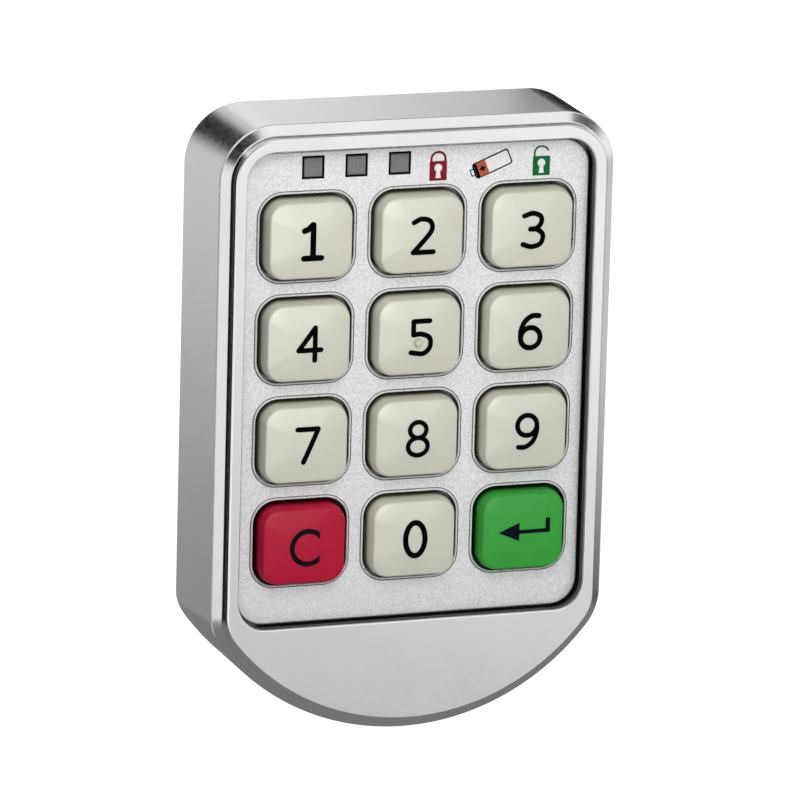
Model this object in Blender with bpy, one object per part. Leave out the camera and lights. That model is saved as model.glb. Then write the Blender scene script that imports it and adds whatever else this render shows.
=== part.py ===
"""Electronic cabinet lock with a keypad on its front and a motor-driven cam behind the door.

Units are metres, +Z is up, the keypad faces -Y and the door's outer face is the plane y = 0.
The origin lies where the spindle's axis crosses that plane. Depths are measured from it: a
depth is a distance in front of the door, a reach is a distance behind it.
"""

import math

import bmesh
import bpy
from mathutils import Matrix, Vector

# Body outline, as it lies on the door round what the body holds
CELL_TOP_MARGIN = 0.00575
TRAY_SIDE_MARGIN = 0.00135
MOTOR_BOTTOM_MARGIN = 0.0030
TOP_CORNER_RADIUS = 0.0085
SIDE_CORNER_RADIUS = 0.0085
BOTTOM_ARC_EXCESS = 0.0060

# Body section
SIDE_DRAFT = 0.00045
OUTER_ROUND = 0.00035
SHOULDER_WIDTH = 0.0013
SHOULDER_TILT = math.radians(30)
HOLLOW_RADIUS = 0.0006
RIM_WALL_HEIGHT = 0.00043
RIM_ROUND = 0.00045
SIDE_WALL = 0.0020
FRONT_WALL = 0.0018

# Recess for the keypad
RECESS_SIDE_MARGIN = 0.0039
RECESS_TOP_MARGIN = 0.0041
RECESS_MOTOR_GAP = 0.0004
RECESS_DEPTH = 0.0020
RECESS_CORNER_RADIUS = 0.0042
RECESS_WALL = 0.0014
SHELF_WIDTH = 0.0007
SHELF_THICKNESS = 0.0012

# Clearances
SEAT_GAP = 0.00025
STRIP_GAP = 0.00015
THREAD_GAP = 0.0001
RUNNING_GAP = 0.00009
OVERRUN = 0.0010

# Fascia plate
FASCIA_THICKNESS = 0.0012
FASCIA_EDGE_GAP = 0.0003
FASCIA_EDGE_ROUND = 0.0003

# Keys
KEY_COLUMNS = 3
KEY_ROWS = 4
KEY_BAR_WIDTH = 0.00256
KEY_BAR_HEIGHT = 0.00235
KEY_SIDE_MARGIN = 0.00254
KEY_TOP_MARGIN = 0.0064
KEY_BOTTOM_MARGIN = 0.00605
KEY_HOLE_RADIUS = 0.0033
KEY_HOLE_GAP = 0.0003
KEY_TAPER = 0.0005
KEY_TOP_RADIUS = 0.0024
KEY_EDGE_ROUND = 0.0003
KEY_PROUD = 0.0003
KEY_FLANGE_WIDTH = 0.0005
KEY_FLANGE_THICKNESS = 0.0006
KEY_TRAVEL = 0.0010
KEY_SIDE_WALL = 0.0012
KEY_TOP_WALL = 0.0013
KEY_STEM_RADIUS = 0.0015
KEY_STEM_RECESS = 0.0004

# Key mat
MAT_THICKNESS = 0.0006
MAT_MARGIN = 0.0004
DOME_BASE_RADIUS = 0.0034
DOME_TOP_RADIUS = 0.0022

# Circuit board and what is soldered to it
BOARD_THICKNESS = 0.0011
BOARD_BOTTOM_MARGIN = 0.0016
BOARD_TOP_MARGIN = 0.0007
BOARD_NOTCH_WIDTH = 0.0070
BOARD_NOTCH_HEIGHT = 0.0060
BOARD_NOTCH_SLOPE = 0.0010
BOARD_SCREW_INSET = 0.00185
BOARD_SCREW_SHANK_RADIUS = 0.0008
BOARD_SCREW_HEAD_RADIUS = 0.0014
BOARD_SCREW_HEAD_HEIGHT = 0.0007
BOARD_SCREW_LENGTH = 0.0022
BOARD_BOSS_RADIUS = 0.00135
BOARD_LOWER_SCREW_DROP = 0.0035
LED_WIDTH = 0.0016
LED_HEIGHT = 0.0006
CHIP_SIZE = 0.0070
CHIP_HEIGHT = 0.0012
CHIP_TO_EDGE = 0.0063
CHIP_RISE = 0.0242
BUZZER_RADIUS = 0.0045
BUZZER_HEIGHT = 0.0040
BUZZER_HOLE_RADIUS = 0.0008
BUZZER_HOLE_DEPTH = 0.0010
BUZZER_TO_EDGE = 0.0053
BUZZER_RISE = 0.0212
PLUG_WIDTH = 0.0060
PLUG_LENGTH = 0.0045
PLUG_HEIGHT = 0.0040
PLUG_TO_EDGE = 0.0058
PLUG_RISE = 0.0102
PLUG_WIRE_PITCH = 0.0020

# Indicator windows
WINDOW_SIZE = 0.0027
WINDOW_PITCH = 0.00645
WINDOW_COUNT = 3
WINDOW_SIDE_MARGIN = 0.0103
WINDOW_TOP_MARGIN = 0.0029
WINDOW_FLANGE_WIDTH = 0.0004
WINDOW_FLANGE_THICKNESS = 0.0006
WINDOW_SIDE_GAP = 0.0001

# Back plate
BACK_PLATE_THICKNESS = 0.0015
BODY_SCREW_SIDE_MARGIN = 0.0066
BODY_SCREW_TOP_MARGIN = 0.0061
BODY_SCREW_LOW_SIDE_MARGIN = 0.0085
BODY_SCREW_BOTTOM_MARGIN = 0.0135
BODY_SCREW_SHANK_RADIUS = 0.00115
BODY_SCREW_HEAD_RADIUS = 0.0021
BODY_SCREW_LENGTH = 0.0070
BODY_BOSS_RADIUS = 0.0021
SCREW_RECESS_WIDTH = 0.0005
SCREW_RECESS_SPAN = 0.0022
SCREW_RECESS_DEPTH = 0.0004

# Door gasket in the rear edge
GASKET_INSET = 0.0009
GASKET_WIDTH = 0.0010
GASKET_DEPTH = 0.0008

# Coin cells, tray, contacts and cover
CELL_RADIUS = 0.01225
CELL_THICKNESS = 0.0050
CELL_CAP_RADIUS = 0.0102
CELL_CAP_STEP = 0.0004
CELL_EDGE_ROUND = 0.0005
CELL_GAP = 0.0013
CELL_FLANGE_GAP = 0.0012
TRAY_SIDE_GAP = 0.00025
TRAY_WALL = 0.0008
TRAY_FLOOR = 0.0015
CONTACT_THICKNESS = 0.0002
CONTACT_WIDTH = 0.0040
CONTACT_REACH = 0.0060
CONTACT_LEG_THICKNESS = 0.00025
COVER_LIP = 0.0008
COVER_LIP_THICKNESS = 0.0007
COVER_SCREW_DROP = 0.00265
COVER_SCREW_HEAD_RADIUS = 0.0014
COVER_SCREW_SHANK_RADIUS = 0.0007
COVER_SCREW_LENGTH = 0.0042
COVER_BOSS_RADIUS = 0.0016

# Gear train, with the motor at its lower end
GEAR_MODULE = 0.0005
GEAR_THICKNESS = 0.0015
GEAR_LAYER_GAP = 0.0003
GEAR_REAR_GAP = 0.00045
MOTOR_TEETH = 8
FIRST_WHEEL_TEETH = 32
FIRST_PINION_TEETH = 10
SECOND_WHEEL_TEETH = 32
SECOND_PINION_TEETH = 12
OUTPUT_TEETH = 50
TOOTH_ADDENDUM_SHARE = 0.85
TOOTH_DEDENDUM_SHARE = 1.20
TOOTH_ROOT_SHARE = 0.27
TOOTH_TIP_SHARE = 0.09
GEAR_PIN_RADIUS = 0.00075
GEAR_PIN_SINK = 0.0009
GEAR_PLATE_THICKNESS = 0.0008
GEAR_PLATE_GAP = 0.00035
GEAR_PLATE_MOTOR_GAP = 0.0010
GEAR_PLATE_TRAY_GAP = 0.0037
GEAR_PLATE_CORNER = 0.0030
POST_RADIUS = 0.0015
POST_TIP_RADIUS = 0.0009
POST_EDGE_MARGIN = 0.0020
POST_LOW_GAP = 0.002075
POST_LOW_RISE = 0.0065
POST_TOP_GAP = 0.000175
POST_TOP_DROP = 0.0034

# Motor
MOTOR_RADIUS = 0.0060
MOTOR_PINION_GAP = 0.0008
MOTOR_EDGE_ROUND = 0.0006
MOTOR_COLLAR_RADIUS = 0.0022
MOTOR_COLLAR_HEIGHT = 0.0004
MOTOR_SHAFT_RADIUS = 0.0006
MOTOR_SHAFT_SINK = 0.0015
CRADLE_WALL = 0.0011
CRADLE_HEIGHT = 0.0055
CRADLE_ROOT = 0.0001
WIRE_RADIUS = 0.0004

# Barrel, spindle and cam
BARREL_RADIUS = 0.0093
BARREL_FLAT_HALF = 0.0080
BARREL_REACH = 0.0197
FLANGE_RIM = 0.0032
BARREL_FLANGE_THICKNESS = 0.0015
BARREL_SCREW_GAP = 0.0013
BARREL_SCREW_SHANK_RADIUS = 0.0008
BARREL_SCREW_HEAD_RADIUS = 0.0016
BARREL_SCREW_LENGTH = 0.0028
SPINDLE_RADIUS = 0.0040
SPINDLE_COLLAR_RADIUS = 0.0055
SPINDLE_SEAT_RADIUS = 0.0030
SPINDLE_JOURNAL_RADIUS = 0.0019
SPINDLE_TIP_HALF = 0.0030
SPINDLE_TIP_CORNER = 0.0006
SPINDLE_SHOULDER_GAP = 0.0003
SPINDLE_THREAD_RADIUS = 0.0020
SPINDLE_THREAD_SPARE = 0.0020
NUT_ACROSS_FLATS = 0.0240
NUT_THICKNESS = 0.0050
NUT_END_GAP = 0.0007
NUT_CHAMFER = 0.0008
WASHER_RIM = 0.0032
WASHER_THICKNESS = 0.0010
CAM_THICKNESS = 0.0025
CAM_LENGTH = 0.0400
CAM_HALF_WIDTH = 0.0090
CAM_HEAD_RADIUS = 0.0100
CAM_TIP_RADIUS = 0.0030
CAM_SCREW_SHANK_RADIUS = 0.0018
CAM_SCREW_HEAD_RADIUS = 0.0050
CAM_SCREW_HEAD_HEIGHT = 0.0020
CAM_SCREW_TOP_SHARE = 0.8
CAM_SCREW_LENGTH = 0.0080

# Smoothness of round shapes, as numbers of segments
CORNER_STEPS = 4
KEY_CORNER_STEPS = 2
BODY_CORNER_STEPS = 6
BODY_ARC_STEPS = 18
EDGE_STEPS = 2
ROUND_STEPS = 24
SMALL_ROUND_STEPS = 10
SHARP_ANGLE = math.radians(35)

# Depths in front of the door, stacked up from it: cells, tray, board, mat, keys and fascia
COVER_REAR = BACK_PLATE_THICKNESS - STRIP_GAP / 2
TOP_CONTACT_REAR = BACK_PLATE_THICKNESS + STRIP_GAP
TOP_CONTACT_FRONT = TOP_CONTACT_REAR + CONTACT_THICKNESS
CELL_REAR = TOP_CONTACT_FRONT + STRIP_GAP
CELL_FRONT = CELL_REAR + CELL_THICKNESS
LINK_REAR = CELL_FRONT + STRIP_GAP
LINK_FRONT = LINK_REAR + CONTACT_THICKNESS
TRAY_REAR = TOP_CONTACT_FRONT + STRIP_GAP
TRAY_FLOOR_REAR = LINK_FRONT + STRIP_GAP
TRAY_FRONT = TRAY_FLOOR_REAR + TRAY_FLOOR
BOARD_REAR = TRAY_FRONT + SEAT_GAP
BOARD_FRONT = BOARD_REAR + BOARD_THICKNESS
MAT_REAR = BOARD_FRONT + SEAT_GAP
MAT_FRONT = MAT_REAR + MAT_THICKNESS
KEY_REAR = MAT_FRONT + SEAT_GAP + KEY_TRAVEL
KEY_FLANGE_FRONT = KEY_REAR + KEY_FLANGE_THICKNESS
STEM_END = KEY_REAR + KEY_STEM_RECESS
DOME_FRONT = STEM_END - KEY_TRAVEL - SEAT_GAP
FASCIA_REAR = KEY_FLANGE_FRONT + SEAT_GAP
FASCIA_FRONT = FASCIA_REAR + FASCIA_THICKNESS
SHELF_FRONT = FASCIA_REAR - SEAT_GAP
SHELF_REAR = SHELF_FRONT - SHELF_THICKNESS
BODY_DEPTH = FASCIA_FRONT + RECESS_DEPTH
KEY_FRONT = BODY_DEPTH + KEY_PROUD
SHOULDER_RUN = SHOULDER_WIDTH - OUTER_ROUND * (1 - math.sin(SHOULDER_TILT))
SHOULDER_RISE = SHOULDER_RUN * math.tan(SHOULDER_TILT)
ROUNDS_RISE = (OUTER_ROUND + HOLLOW_RADIUS) * math.cos(SHOULDER_TILT)
WALL_DEPTH = BODY_DEPTH - RIM_ROUND - RIM_WALL_HEIGHT - SHOULDER_RISE - ROUNDS_RISE
CAVITY_FRONT = BODY_DEPTH - FRONT_WALL

# Depths of the gear train, the motor and the barrel's flange
GEAR_LAYER = GEAR_THICKNESS + GEAR_LAYER_GAP
REAR_LAYER = BACK_PLATE_THICKNESS + GEAR_REAR_GAP
MIDDLE_LAYER = REAR_LAYER + GEAR_LAYER
FRONT_LAYER = MIDDLE_LAYER + GEAR_LAYER
GEAR_PLATE_REAR = FRONT_LAYER + GEAR_THICKNESS + GEAR_PLATE_GAP
GEAR_PLATE_FRONT = GEAR_PLATE_REAR + GEAR_PLATE_THICKNESS
MOTOR_FRONT = CAVITY_FRONT - SEAT_GAP
MOTOR_REAR = REAR_LAYER + GEAR_THICKNESS + MOTOR_PINION_GAP + MOTOR_COLLAR_HEIGHT
BARREL_FLANGE_REAR = BACK_PLATE_THICKNESS + SEAT_GAP
BARREL_FLANGE_FRONT = BARREL_FLANGE_REAR + BARREL_FLANGE_THICKNESS
SPINDLE_SHOULDER_REACH = BARREL_REACH + SPINDLE_SHOULDER_GAP
BARREL_FLANGE_RADIUS = BARREL_RADIUS + FLANGE_RIM
WASHER_RADIUS = BARREL_RADIUS + WASHER_RIM
NUT_REACH = BARREL_REACH - NUT_THICKNESS - NUT_END_GAP

# Gear centres follow from the tooth counts, down from the spindle to the motor
SECOND_GEAR_Z = -GEAR_MODULE * (OUTPUT_TEETH + SECOND_PINION_TEETH) / 2
FIRST_GEAR_Z = SECOND_GEAR_Z - GEAR_MODULE * (SECOND_WHEEL_TEETH + FIRST_PINION_TEETH) / 2
MOTOR_Z = FIRST_GEAR_Z - GEAR_MODULE * (FIRST_WHEEL_TEETH + MOTOR_TEETH) / 2
OUTPUT_TIP_RADIUS = GEAR_MODULE * (OUTPUT_TEETH / 2 + TOOTH_ADDENDUM_SHARE)
FIRST_TIP_RADIUS = GEAR_MODULE * (FIRST_WHEEL_TEETH / 2 + TOOTH_ADDENDUM_SHARE)

# The body's outline reaches round the cells above the spindle and the motor below it
TRAY_RADIUS = CELL_RADIUS + TRAY_SIDE_GAP + TRAY_WALL
CELL_SPACING = CELL_RADIUS * 2 + CELL_GAP
CELL_Z = BARREL_FLANGE_RADIUS + CELL_FLANGE_GAP + TRAY_RADIUS
CAVITY_OFFSET = SIDE_DRAFT + SIDE_WALL
HALF_WIDTH = CELL_SPACING / 2 + TRAY_RADIUS + TRAY_SIDE_MARGIN + CAVITY_OFFSET
SPINDLE_TO_TOP = CELL_Z + CELL_RADIUS + CELL_TOP_MARGIN
BODY_BOTTOM = MOTOR_Z - MOTOR_RADIUS - MOTOR_BOTTOM_MARGIN
BOTTOM_ARC_RADIUS = HALF_WIDTH + BOTTOM_ARC_EXCESS
RIM_OFFSET = SIDE_DRAFT + SHOULDER_WIDTH + HOLLOW_RADIUS * (1 - math.sin(SHOULDER_TILT))

# The keypad fills the recess, and the recess ends above the motor
RECESS_TOP = SPINDLE_TO_TOP - RECESS_TOP_MARGIN
RECESS_BOTTOM = MOTOR_Z + MOTOR_RADIUS + RECESS_MOTOR_GAP + RECESS_WALL
RECESS_HEIGHT = RECESS_TOP - RECESS_BOTTOM
RECESS_WIDTH = (HALF_WIDTH - RECESS_SIDE_MARGIN) * 2
KEY_SPAN_X = RECESS_WIDTH - KEY_SIDE_MARGIN * 2 + KEY_BAR_WIDTH
KEY_SPAN_Z = RECESS_HEIGHT - KEY_TOP_MARGIN - KEY_BOTTOM_MARGIN + KEY_BAR_HEIGHT
KEY_PITCH_X = KEY_SPAN_X / KEY_COLUMNS
KEY_PITCH_Z = KEY_SPAN_Z / KEY_ROWS
KEY_HOLE_WIDTH = KEY_PITCH_X - KEY_BAR_WIDTH
KEY_HOLE_HEIGHT = KEY_PITCH_Z - KEY_BAR_HEIGHT
FIRST_ROW_Z = RECESS_TOP - KEY_TOP_MARGIN - KEY_HOLE_HEIGHT / 2
KEYPAD_HALF_SPAN = KEY_PITCH_Z * (KEY_ROWS - 1) / 2
KEYPAD_MIDDLE = FIRST_ROW_Z - KEYPAD_HALF_SPAN

# Places on the board, the back plate and the gear plate
BOARD_HALF_WIDTH = HALF_WIDTH - CAVITY_OFFSET - SEAT_GAP
CHIP_X = CHIP_TO_EDGE - BOARD_HALF_WIDTH
CHIP_Z = RECESS_BOTTOM + CHIP_RISE
BUZZER_X = BOARD_HALF_WIDTH - BUZZER_TO_EDGE
BUZZER_Z = RECESS_BOTTOM + BUZZER_RISE
PLUG_X = PLUG_TO_EDGE - BOARD_HALF_WIDTH
PLUG_Z = RECESS_BOTTOM + PLUG_RISE
COVER_SCREW_Z = CELL_Z + CELL_RADIUS - COVER_SCREW_DROP
GEAR_PLATE_BOTTOM = MOTOR_Z + MOTOR_RADIUS + GEAR_PLATE_MOTOR_GAP
GEAR_PLATE_TOP = CELL_Z - TRAY_RADIUS - GEAR_PLATE_TRAY_GAP
POST_TOP_X = OUTPUT_TIP_RADIUS + POST_RADIUS + POST_TOP_GAP
POST_LOW_X = FIRST_TIP_RADIUS + POST_RADIUS + POST_LOW_GAP
GEAR_PLATE_HALF_WIDTH = POST_TOP_X + POST_EDGE_MARGIN
BARREL_SCREW_X = BARREL_RADIUS + BARREL_SCREW_GAP


def clear_scene():
    for old in list(bpy.data.objects):
        bpy.data.objects.remove(old, do_unlink=True)


def material(name, colour, metallic, roughness):
    """A plain principled material, made once per name."""
    made = bpy.data.materials.get(name) or bpy.data.materials.new(name)
    made.use_nodes = True
    shader = made.node_tree.nodes["Principled BSDF"]
    shader.inputs["Base Color"].default_value = (*colour, 1.0)
    shader.inputs["Metallic"].default_value = metallic
    shader.inputs["Roughness"].default_value = roughness
    return made


def arc(centre_x, centre_z, radius, start, end, steps):
    """Points along an arc in the plane of the door, angles from +X towards +Z."""
    points = []
    for step in range(steps + 1):
        angle = start + (end - start) * step / steps
        points.append((centre_x + radius * math.cos(angle), centre_z + radius * math.sin(angle)))
    return points


def circle(radius, centre_x=0.0, centre_z=0.0, steps=ROUND_STEPS):
    return arc(centre_x, centre_z, radius, 0.0, math.tau * (steps - 1) / steps, steps - 1)


def rounded_box(half_x, half_z, radius, centre_x=0.0, centre_z=0.0, steps=CORNER_STEPS):
    """A rectangle with round corners, anticlockwise from the upper end of its right side."""
    outline = []
    for index, (side_x, side_z) in enumerate(((1, 1), (-1, 1), (-1, -1), (1, -1))):
        corner_x = centre_x + side_x * (half_x - radius)
        corner_z = centre_z + side_z * (half_z - radius)
        start = index * math.pi / 2
        outline += arc(corner_x, corner_z, radius, start, start + math.pi / 2, steps)
    return outline


def body_outline(offset):
    """The body's outline moved inwards by offset: round top corners, straight sides, one big arc."""
    top_x = HALF_WIDTH - TOP_CORNER_RADIUS
    top_z = SPINDLE_TO_TOP - TOP_CORNER_RADIUS
    arc_z = BODY_BOTTOM + BOTTOM_ARC_RADIUS
    side_x = HALF_WIDTH - SIDE_CORNER_RADIUS
    drop = math.sqrt((BOTTOM_ARC_RADIUS - SIDE_CORNER_RADIUS) ** 2 - side_x**2)
    side_z = arc_z - drop
    turn = math.atan2(drop, side_x)
    top_radius = TOP_CORNER_RADIUS - offset
    side_radius = SIDE_CORNER_RADIUS - offset
    arc_radius = BOTTOM_ARC_RADIUS - offset
    outline = arc(top_x, top_z, top_radius, 0.0, math.pi / 2, BODY_CORNER_STEPS)
    outline += arc(-top_x, top_z, top_radius, math.pi / 2, math.pi, BODY_CORNER_STEPS)
    outline += arc(-side_x, side_z, side_radius, math.pi, math.pi + turn, CORNER_STEPS)[:-1]
    outline += arc(0.0, arc_z, arc_radius, math.pi + turn, math.tau - turn, BODY_ARC_STEPS)
    outline += arc(side_x, side_z, side_radius, -turn, 0.0, CORNER_STEPS)[1:]
    return outline


def below(outline, limit):
    """The part of a convex outline that lies below a height."""
    kept = []
    for index, (x, z) in enumerate(outline):
        last_x, last_z = outline[index - 1]
        if (z < limit) != (last_z < limit):
            share = (limit - last_z) / (z - last_z)
            kept.append((last_x + share * (x - last_x), limit))
        if z < limit:
            kept.append((x, z))
    return kept


def add_object(name, bm, look, origin=(0.0, 0.0, 0.0)):
    """Links the mesh as an object whose origin lies at the given point."""
    bm.normal_update()
    faces = [face for face in bm.faces if len(face.verts) > 4]
    bmesh.ops.triangulate(bm, faces=faces, ngon_method="EAR_CLIP")
    bmesh.ops.recalc_face_normals(bm, faces=bm.faces)
    bmesh.ops.transform(bm, matrix=Matrix.Translation(-Vector(origin)), verts=bm.verts)
    mesh = bpy.data.meshes.new(name)
    bm.to_mesh(mesh)
    bm.free()
    mesh.shade_smooth()
    mesh.set_sharp_from_angle(angle=SHARP_ANGLE)
    made = bpy.data.objects.new(name, mesh)
    made.location = origin
    bpy.context.collection.objects.link(made)
    if look is None:
        made.hide_render = True
        made.display_type = "WIRE"
    else:
        made.data.materials.append(look)
    return made


def add_loft(bm, rings, joined=False):
    """Skins rings of (outline, depth) that have equal point counts. Joined rings make a tube."""
    loops = [[bm.verts.new((x, -depth, z)) for x, z in outline] for outline, depth in rings]
    pairs = list(zip(loops, loops[1:]))
    if joined:
        pairs.append((loops[-1], loops[0]))
    else:
        bm.faces.new(loops[0])
        bm.faces.new(loops[-1])
    for near, far in pairs:
        for index in range(len(near)):
            bm.faces.new((near[index - 1], near[index], far[index], far[index - 1]))


def loft(name, rings, look, joined=False, origin=(0.0, 0.0, 0.0)):
    bm = bmesh.new()
    add_loft(bm, rings, joined)
    return add_object(name, bm, look, origin)


def lofts(name, ring_groups, look=None):
    """One object that holds several separate lofts, used to cut or to add many places at once."""
    bm = bmesh.new()
    for rings in ring_groups:
        add_loft(bm, rings)
    return add_object(name, bm, look)


def prism(outline, rear, front):
    return [(outline, rear), (outline, front)]


def combine(target, other, operation, solver="EXACT"):
    """A Boolean modifier that stays on the target."""
    modifier = target.modifiers.new(other.name, "BOOLEAN")
    modifier.object = other
    modifier.operation = operation
    modifier.solver = solver
    return target


def cut(target, other):
    return combine(target, other, "DIFFERENCE")


def join(target, other):
    return combine(target, other, "UNION")


def turned(profile, centre_x=0.0, centre_z=0.0, steps=ROUND_STEPS):
    """Rings of a turned shape from (radius, depth) pairs."""
    return [(circle(radius, centre_x, centre_z, steps), depth) for radius, depth in profile]


def key_places():
    """Each key's name and centre, row by row from the top."""
    rows = (("1", "2", "3"), ("4", "5", "6"), ("7", "8", "9"), ("clear", "0", "enter"))
    for row, names in enumerate(rows):
        for column, name in enumerate(names):
            x = (column - (KEY_COLUMNS - 1) / 2) * KEY_PITCH_X
            z = FIRST_ROW_Z - row * KEY_PITCH_Z
            yield "key_" + name, x, z


def window_places():
    first = WINDOW_SIDE_MARGIN - RECESS_WIDTH / 2
    for index in range(WINDOW_COUNT):
        yield first + index * WINDOW_PITCH, RECESS_TOP - WINDOW_TOP_MARGIN


def body_screw_places():
    for side in (-1, 1):
        upper_z = SPINDLE_TO_TOP - BODY_SCREW_TOP_MARGIN
        yield side * (HALF_WIDTH - BODY_SCREW_SIDE_MARGIN), upper_z
        lower_z = BODY_BOTTOM + BODY_SCREW_BOTTOM_MARGIN
        yield side * (HALF_WIDTH - BODY_SCREW_LOW_SIDE_MARGIN), lower_z


def board_screw_places():
    """Beside the gaps between key rows, so that the bosses pass the key flanges."""
    x = HALF_WIDTH - CAVITY_OFFSET - BOARD_SCREW_INSET
    lower_z = RECESS_BOTTOM + BOARD_LOWER_SCREW_DROP
    for side in (-1, 1):
        yield side * x, KEYPAD_MIDDLE
        yield side * x, lower_z


def post_places():
    for side in (-1, 1):
        yield side * POST_LOW_X, GEAR_PLATE_BOTTOM + POST_LOW_RISE
        yield side * POST_TOP_X, GEAR_PLATE_TOP - POST_TOP_DROP


def recess_outline(inset):
    return rounded_box(
        RECESS_WIDTH / 2 - inset,
        RECESS_HEIGHT / 2 - inset,
        RECESS_CORNER_RADIUS - inset,
        centre_z=(RECESS_TOP + RECESS_BOTTOM) / 2,
    )


def stadium(radius):
    """The outline round both coin cells."""
    half_x = CELL_SPACING / 2 + radius
    return rounded_box(half_x, radius, radius, centre_z=CELL_Z, steps=ROUND_STEPS // 4)


def cross_recess(centre_x, centre_z, rear, front):
    """Two slots that make a cross in a screw head."""
    half = SCREW_RECESS_WIDTH / 2
    span = SCREW_RECESS_SPAN / 2
    sides = ((span, half), (half, span))
    outlines = []
    for half_x, half_z in sides:
        corners = ((half_x, half_z), (-half_x, half_z), (-half_x, -half_z), (half_x, -half_z))
        outlines.append([(centre_x + x, centre_z + z) for x, z in corners])
    return [prism(outline, rear, front) for outline in outlines]


def leans(start, end):
    """Sine and cosine of a face's lean from facing forwards, step by step through a round."""
    angles = [start + (end - start) * step / EDGE_STEPS for step in range(EDGE_STEPS + 1)]
    return [(math.sin(angle), math.cos(angle)) for angle in angles]


def make_housing(look):
    """A drafted side wall, a rounded edge, a sloping shoulder, a hollow and the rim's rounded wall."""
    upright = math.pi / 2
    profile = [(0.0, 0.0)]
    for s, c in leans(upright, SHOULDER_TILT):
        profile.append((SIDE_DRAFT + OUTER_ROUND * (1 - s), WALL_DEPTH + OUTER_ROUND * c))
    hollow_depth = BODY_DEPTH - RIM_ROUND - RIM_WALL_HEIGHT
    for s, c in leans(SHOULDER_TILT, upright):
        profile.append((RIM_OFFSET - HOLLOW_RADIUS * (1 - s), hollow_depth - HOLLOW_RADIUS * c))
    for s, c in leans(upright, 0.0):
        profile.append((RIM_OFFSET + RIM_ROUND * (1 - s), BODY_DEPTH - RIM_ROUND * (1 - c)))
    rings = [(body_outline(offset), depth) for offset, depth in profile]
    housing = loft("housing", rings, look)

    shell = body_outline(CAVITY_OFFSET)
    low_shell = below(shell, RECESS_BOTTOM - RECESS_WALL)
    cut(housing, loft("cavity_cutter", prism(shell, -OVERRUN, SHELF_REAR), None))
    cut(housing, loft("low_cavity_cutter", prism(low_shell, OVERRUN, CAVITY_FRONT), None))
    pocket = prism(recess_outline(0.0), SHELF_FRONT, BODY_DEPTH + OVERRUN)
    cut(housing, loft("recess_cutter", pocket, None))
    window = prism(recess_outline(SHELF_WIDTH), SHELF_REAR - OVERRUN, SHELF_FRONT + OVERRUN)
    cut(housing, loft("keypad_opening_cutter", window, None))

    bosses = []
    boss_rear = BACK_PLATE_THICKNESS + SEAT_GAP
    boss_front = SHELF_REAR + SHELF_THICKNESS / 2
    for x, z in body_screw_places():
        outline = circle(BODY_BOSS_RADIUS, x, z, SMALL_ROUND_STEPS)
        bosses.append(prism(outline, boss_rear, boss_front))
    for x, z in board_screw_places():
        outline = circle(BOARD_BOSS_RADIUS, x, z, SMALL_ROUND_STEPS)
        bosses.append(prism(outline, BOARD_FRONT + SEAT_GAP, boss_front))
    join(housing, lofts("boss_shapes", bosses))
    cradle_front = CAVITY_FRONT + CRADLE_ROOT
    cradle = circle(MOTOR_RADIUS + SEAT_GAP + CRADLE_WALL, 0.0, MOTOR_Z)
    cradle_shape = prism(cradle, CAVITY_FRONT - CRADLE_HEIGHT, cradle_front)
    join(housing, loft("cradle_shape", cradle_shape, None))
    socket = circle(MOTOR_RADIUS + SEAT_GAP, 0.0, MOTOR_Z)
    socket_shape = prism(socket, BACK_PLATE_THICKNESS, CAVITY_FRONT)
    cut(housing, loft("motor_socket_cutter", socket_shape, None))

    holes = []
    for x, z in body_screw_places():
        outline = circle(BODY_SCREW_SHANK_RADIUS + THREAD_GAP, x, z, SMALL_ROUND_STEPS)
        holes.append(prism(outline, -OVERRUN, BODY_SCREW_LENGTH + SEAT_GAP))
    for x, z in board_screw_places():
        outline = circle(BOARD_SCREW_SHANK_RADIUS + THREAD_GAP, x, z, SMALL_ROUND_STEPS)
        hole_end = BOARD_REAR + BOARD_SCREW_LENGTH + THREAD_GAP
        holes.append(prism(outline, BOARD_REAR, hole_end))
    cut(housing, lofts("screw_hole_cutter", holes))
    outer = body_outline(GASKET_INSET - THREAD_GAP)
    inner = body_outline(GASKET_INSET + GASKET_WIDTH + THREAD_GAP)
    floor = GASKET_DEPTH + THREAD_GAP
    groove = [(outer, -OVERRUN), (outer, floor), (inner, floor), (inner, -OVERRUN)]
    cut(housing, loft("gasket_groove_cutter", groove, None, joined=True))


def make_gasket(look):
    outer = body_outline(GASKET_INSET)
    inner = body_outline(GASKET_INSET + GASKET_WIDTH)
    rings = [(outer, 0.0), (outer, GASKET_DEPTH), (inner, GASKET_DEPTH), (inner, 0.0)]
    loft("door_gasket", rings, look, joined=True)


def make_fascia(look):
    edge = recess_outline(FASCIA_EDGE_GAP)
    front = recess_outline(FASCIA_EDGE_GAP + FASCIA_EDGE_ROUND)
    shoulder = FASCIA_FRONT - FASCIA_EDGE_ROUND
    rings = [(edge, FASCIA_REAR), (edge, shoulder), (front, FASCIA_FRONT)]
    fascia = loft("fascia_plate", rings, look)
    rear = FASCIA_REAR - OVERRUN
    ahead = FASCIA_FRONT + OVERRUN
    holes = []
    for _, x, z in key_places():
        half_x = KEY_HOLE_WIDTH / 2
        half_z = KEY_HOLE_HEIGHT / 2
        outline = rounded_box(half_x, half_z, KEY_HOLE_RADIUS, x, z)
        holes.append(prism(outline, rear, ahead))
    for x, z in window_places():
        half = WINDOW_SIZE / 2 + WINDOW_SIDE_GAP
        corners = ((half, half), (-half, half), (-half, -half), (half, -half))
        holes.append(prism([(x + dx, z + dz) for dx, dz in corners], rear, ahead))
    cut(fascia, lofts("fascia_hole_cutter", holes))


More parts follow.
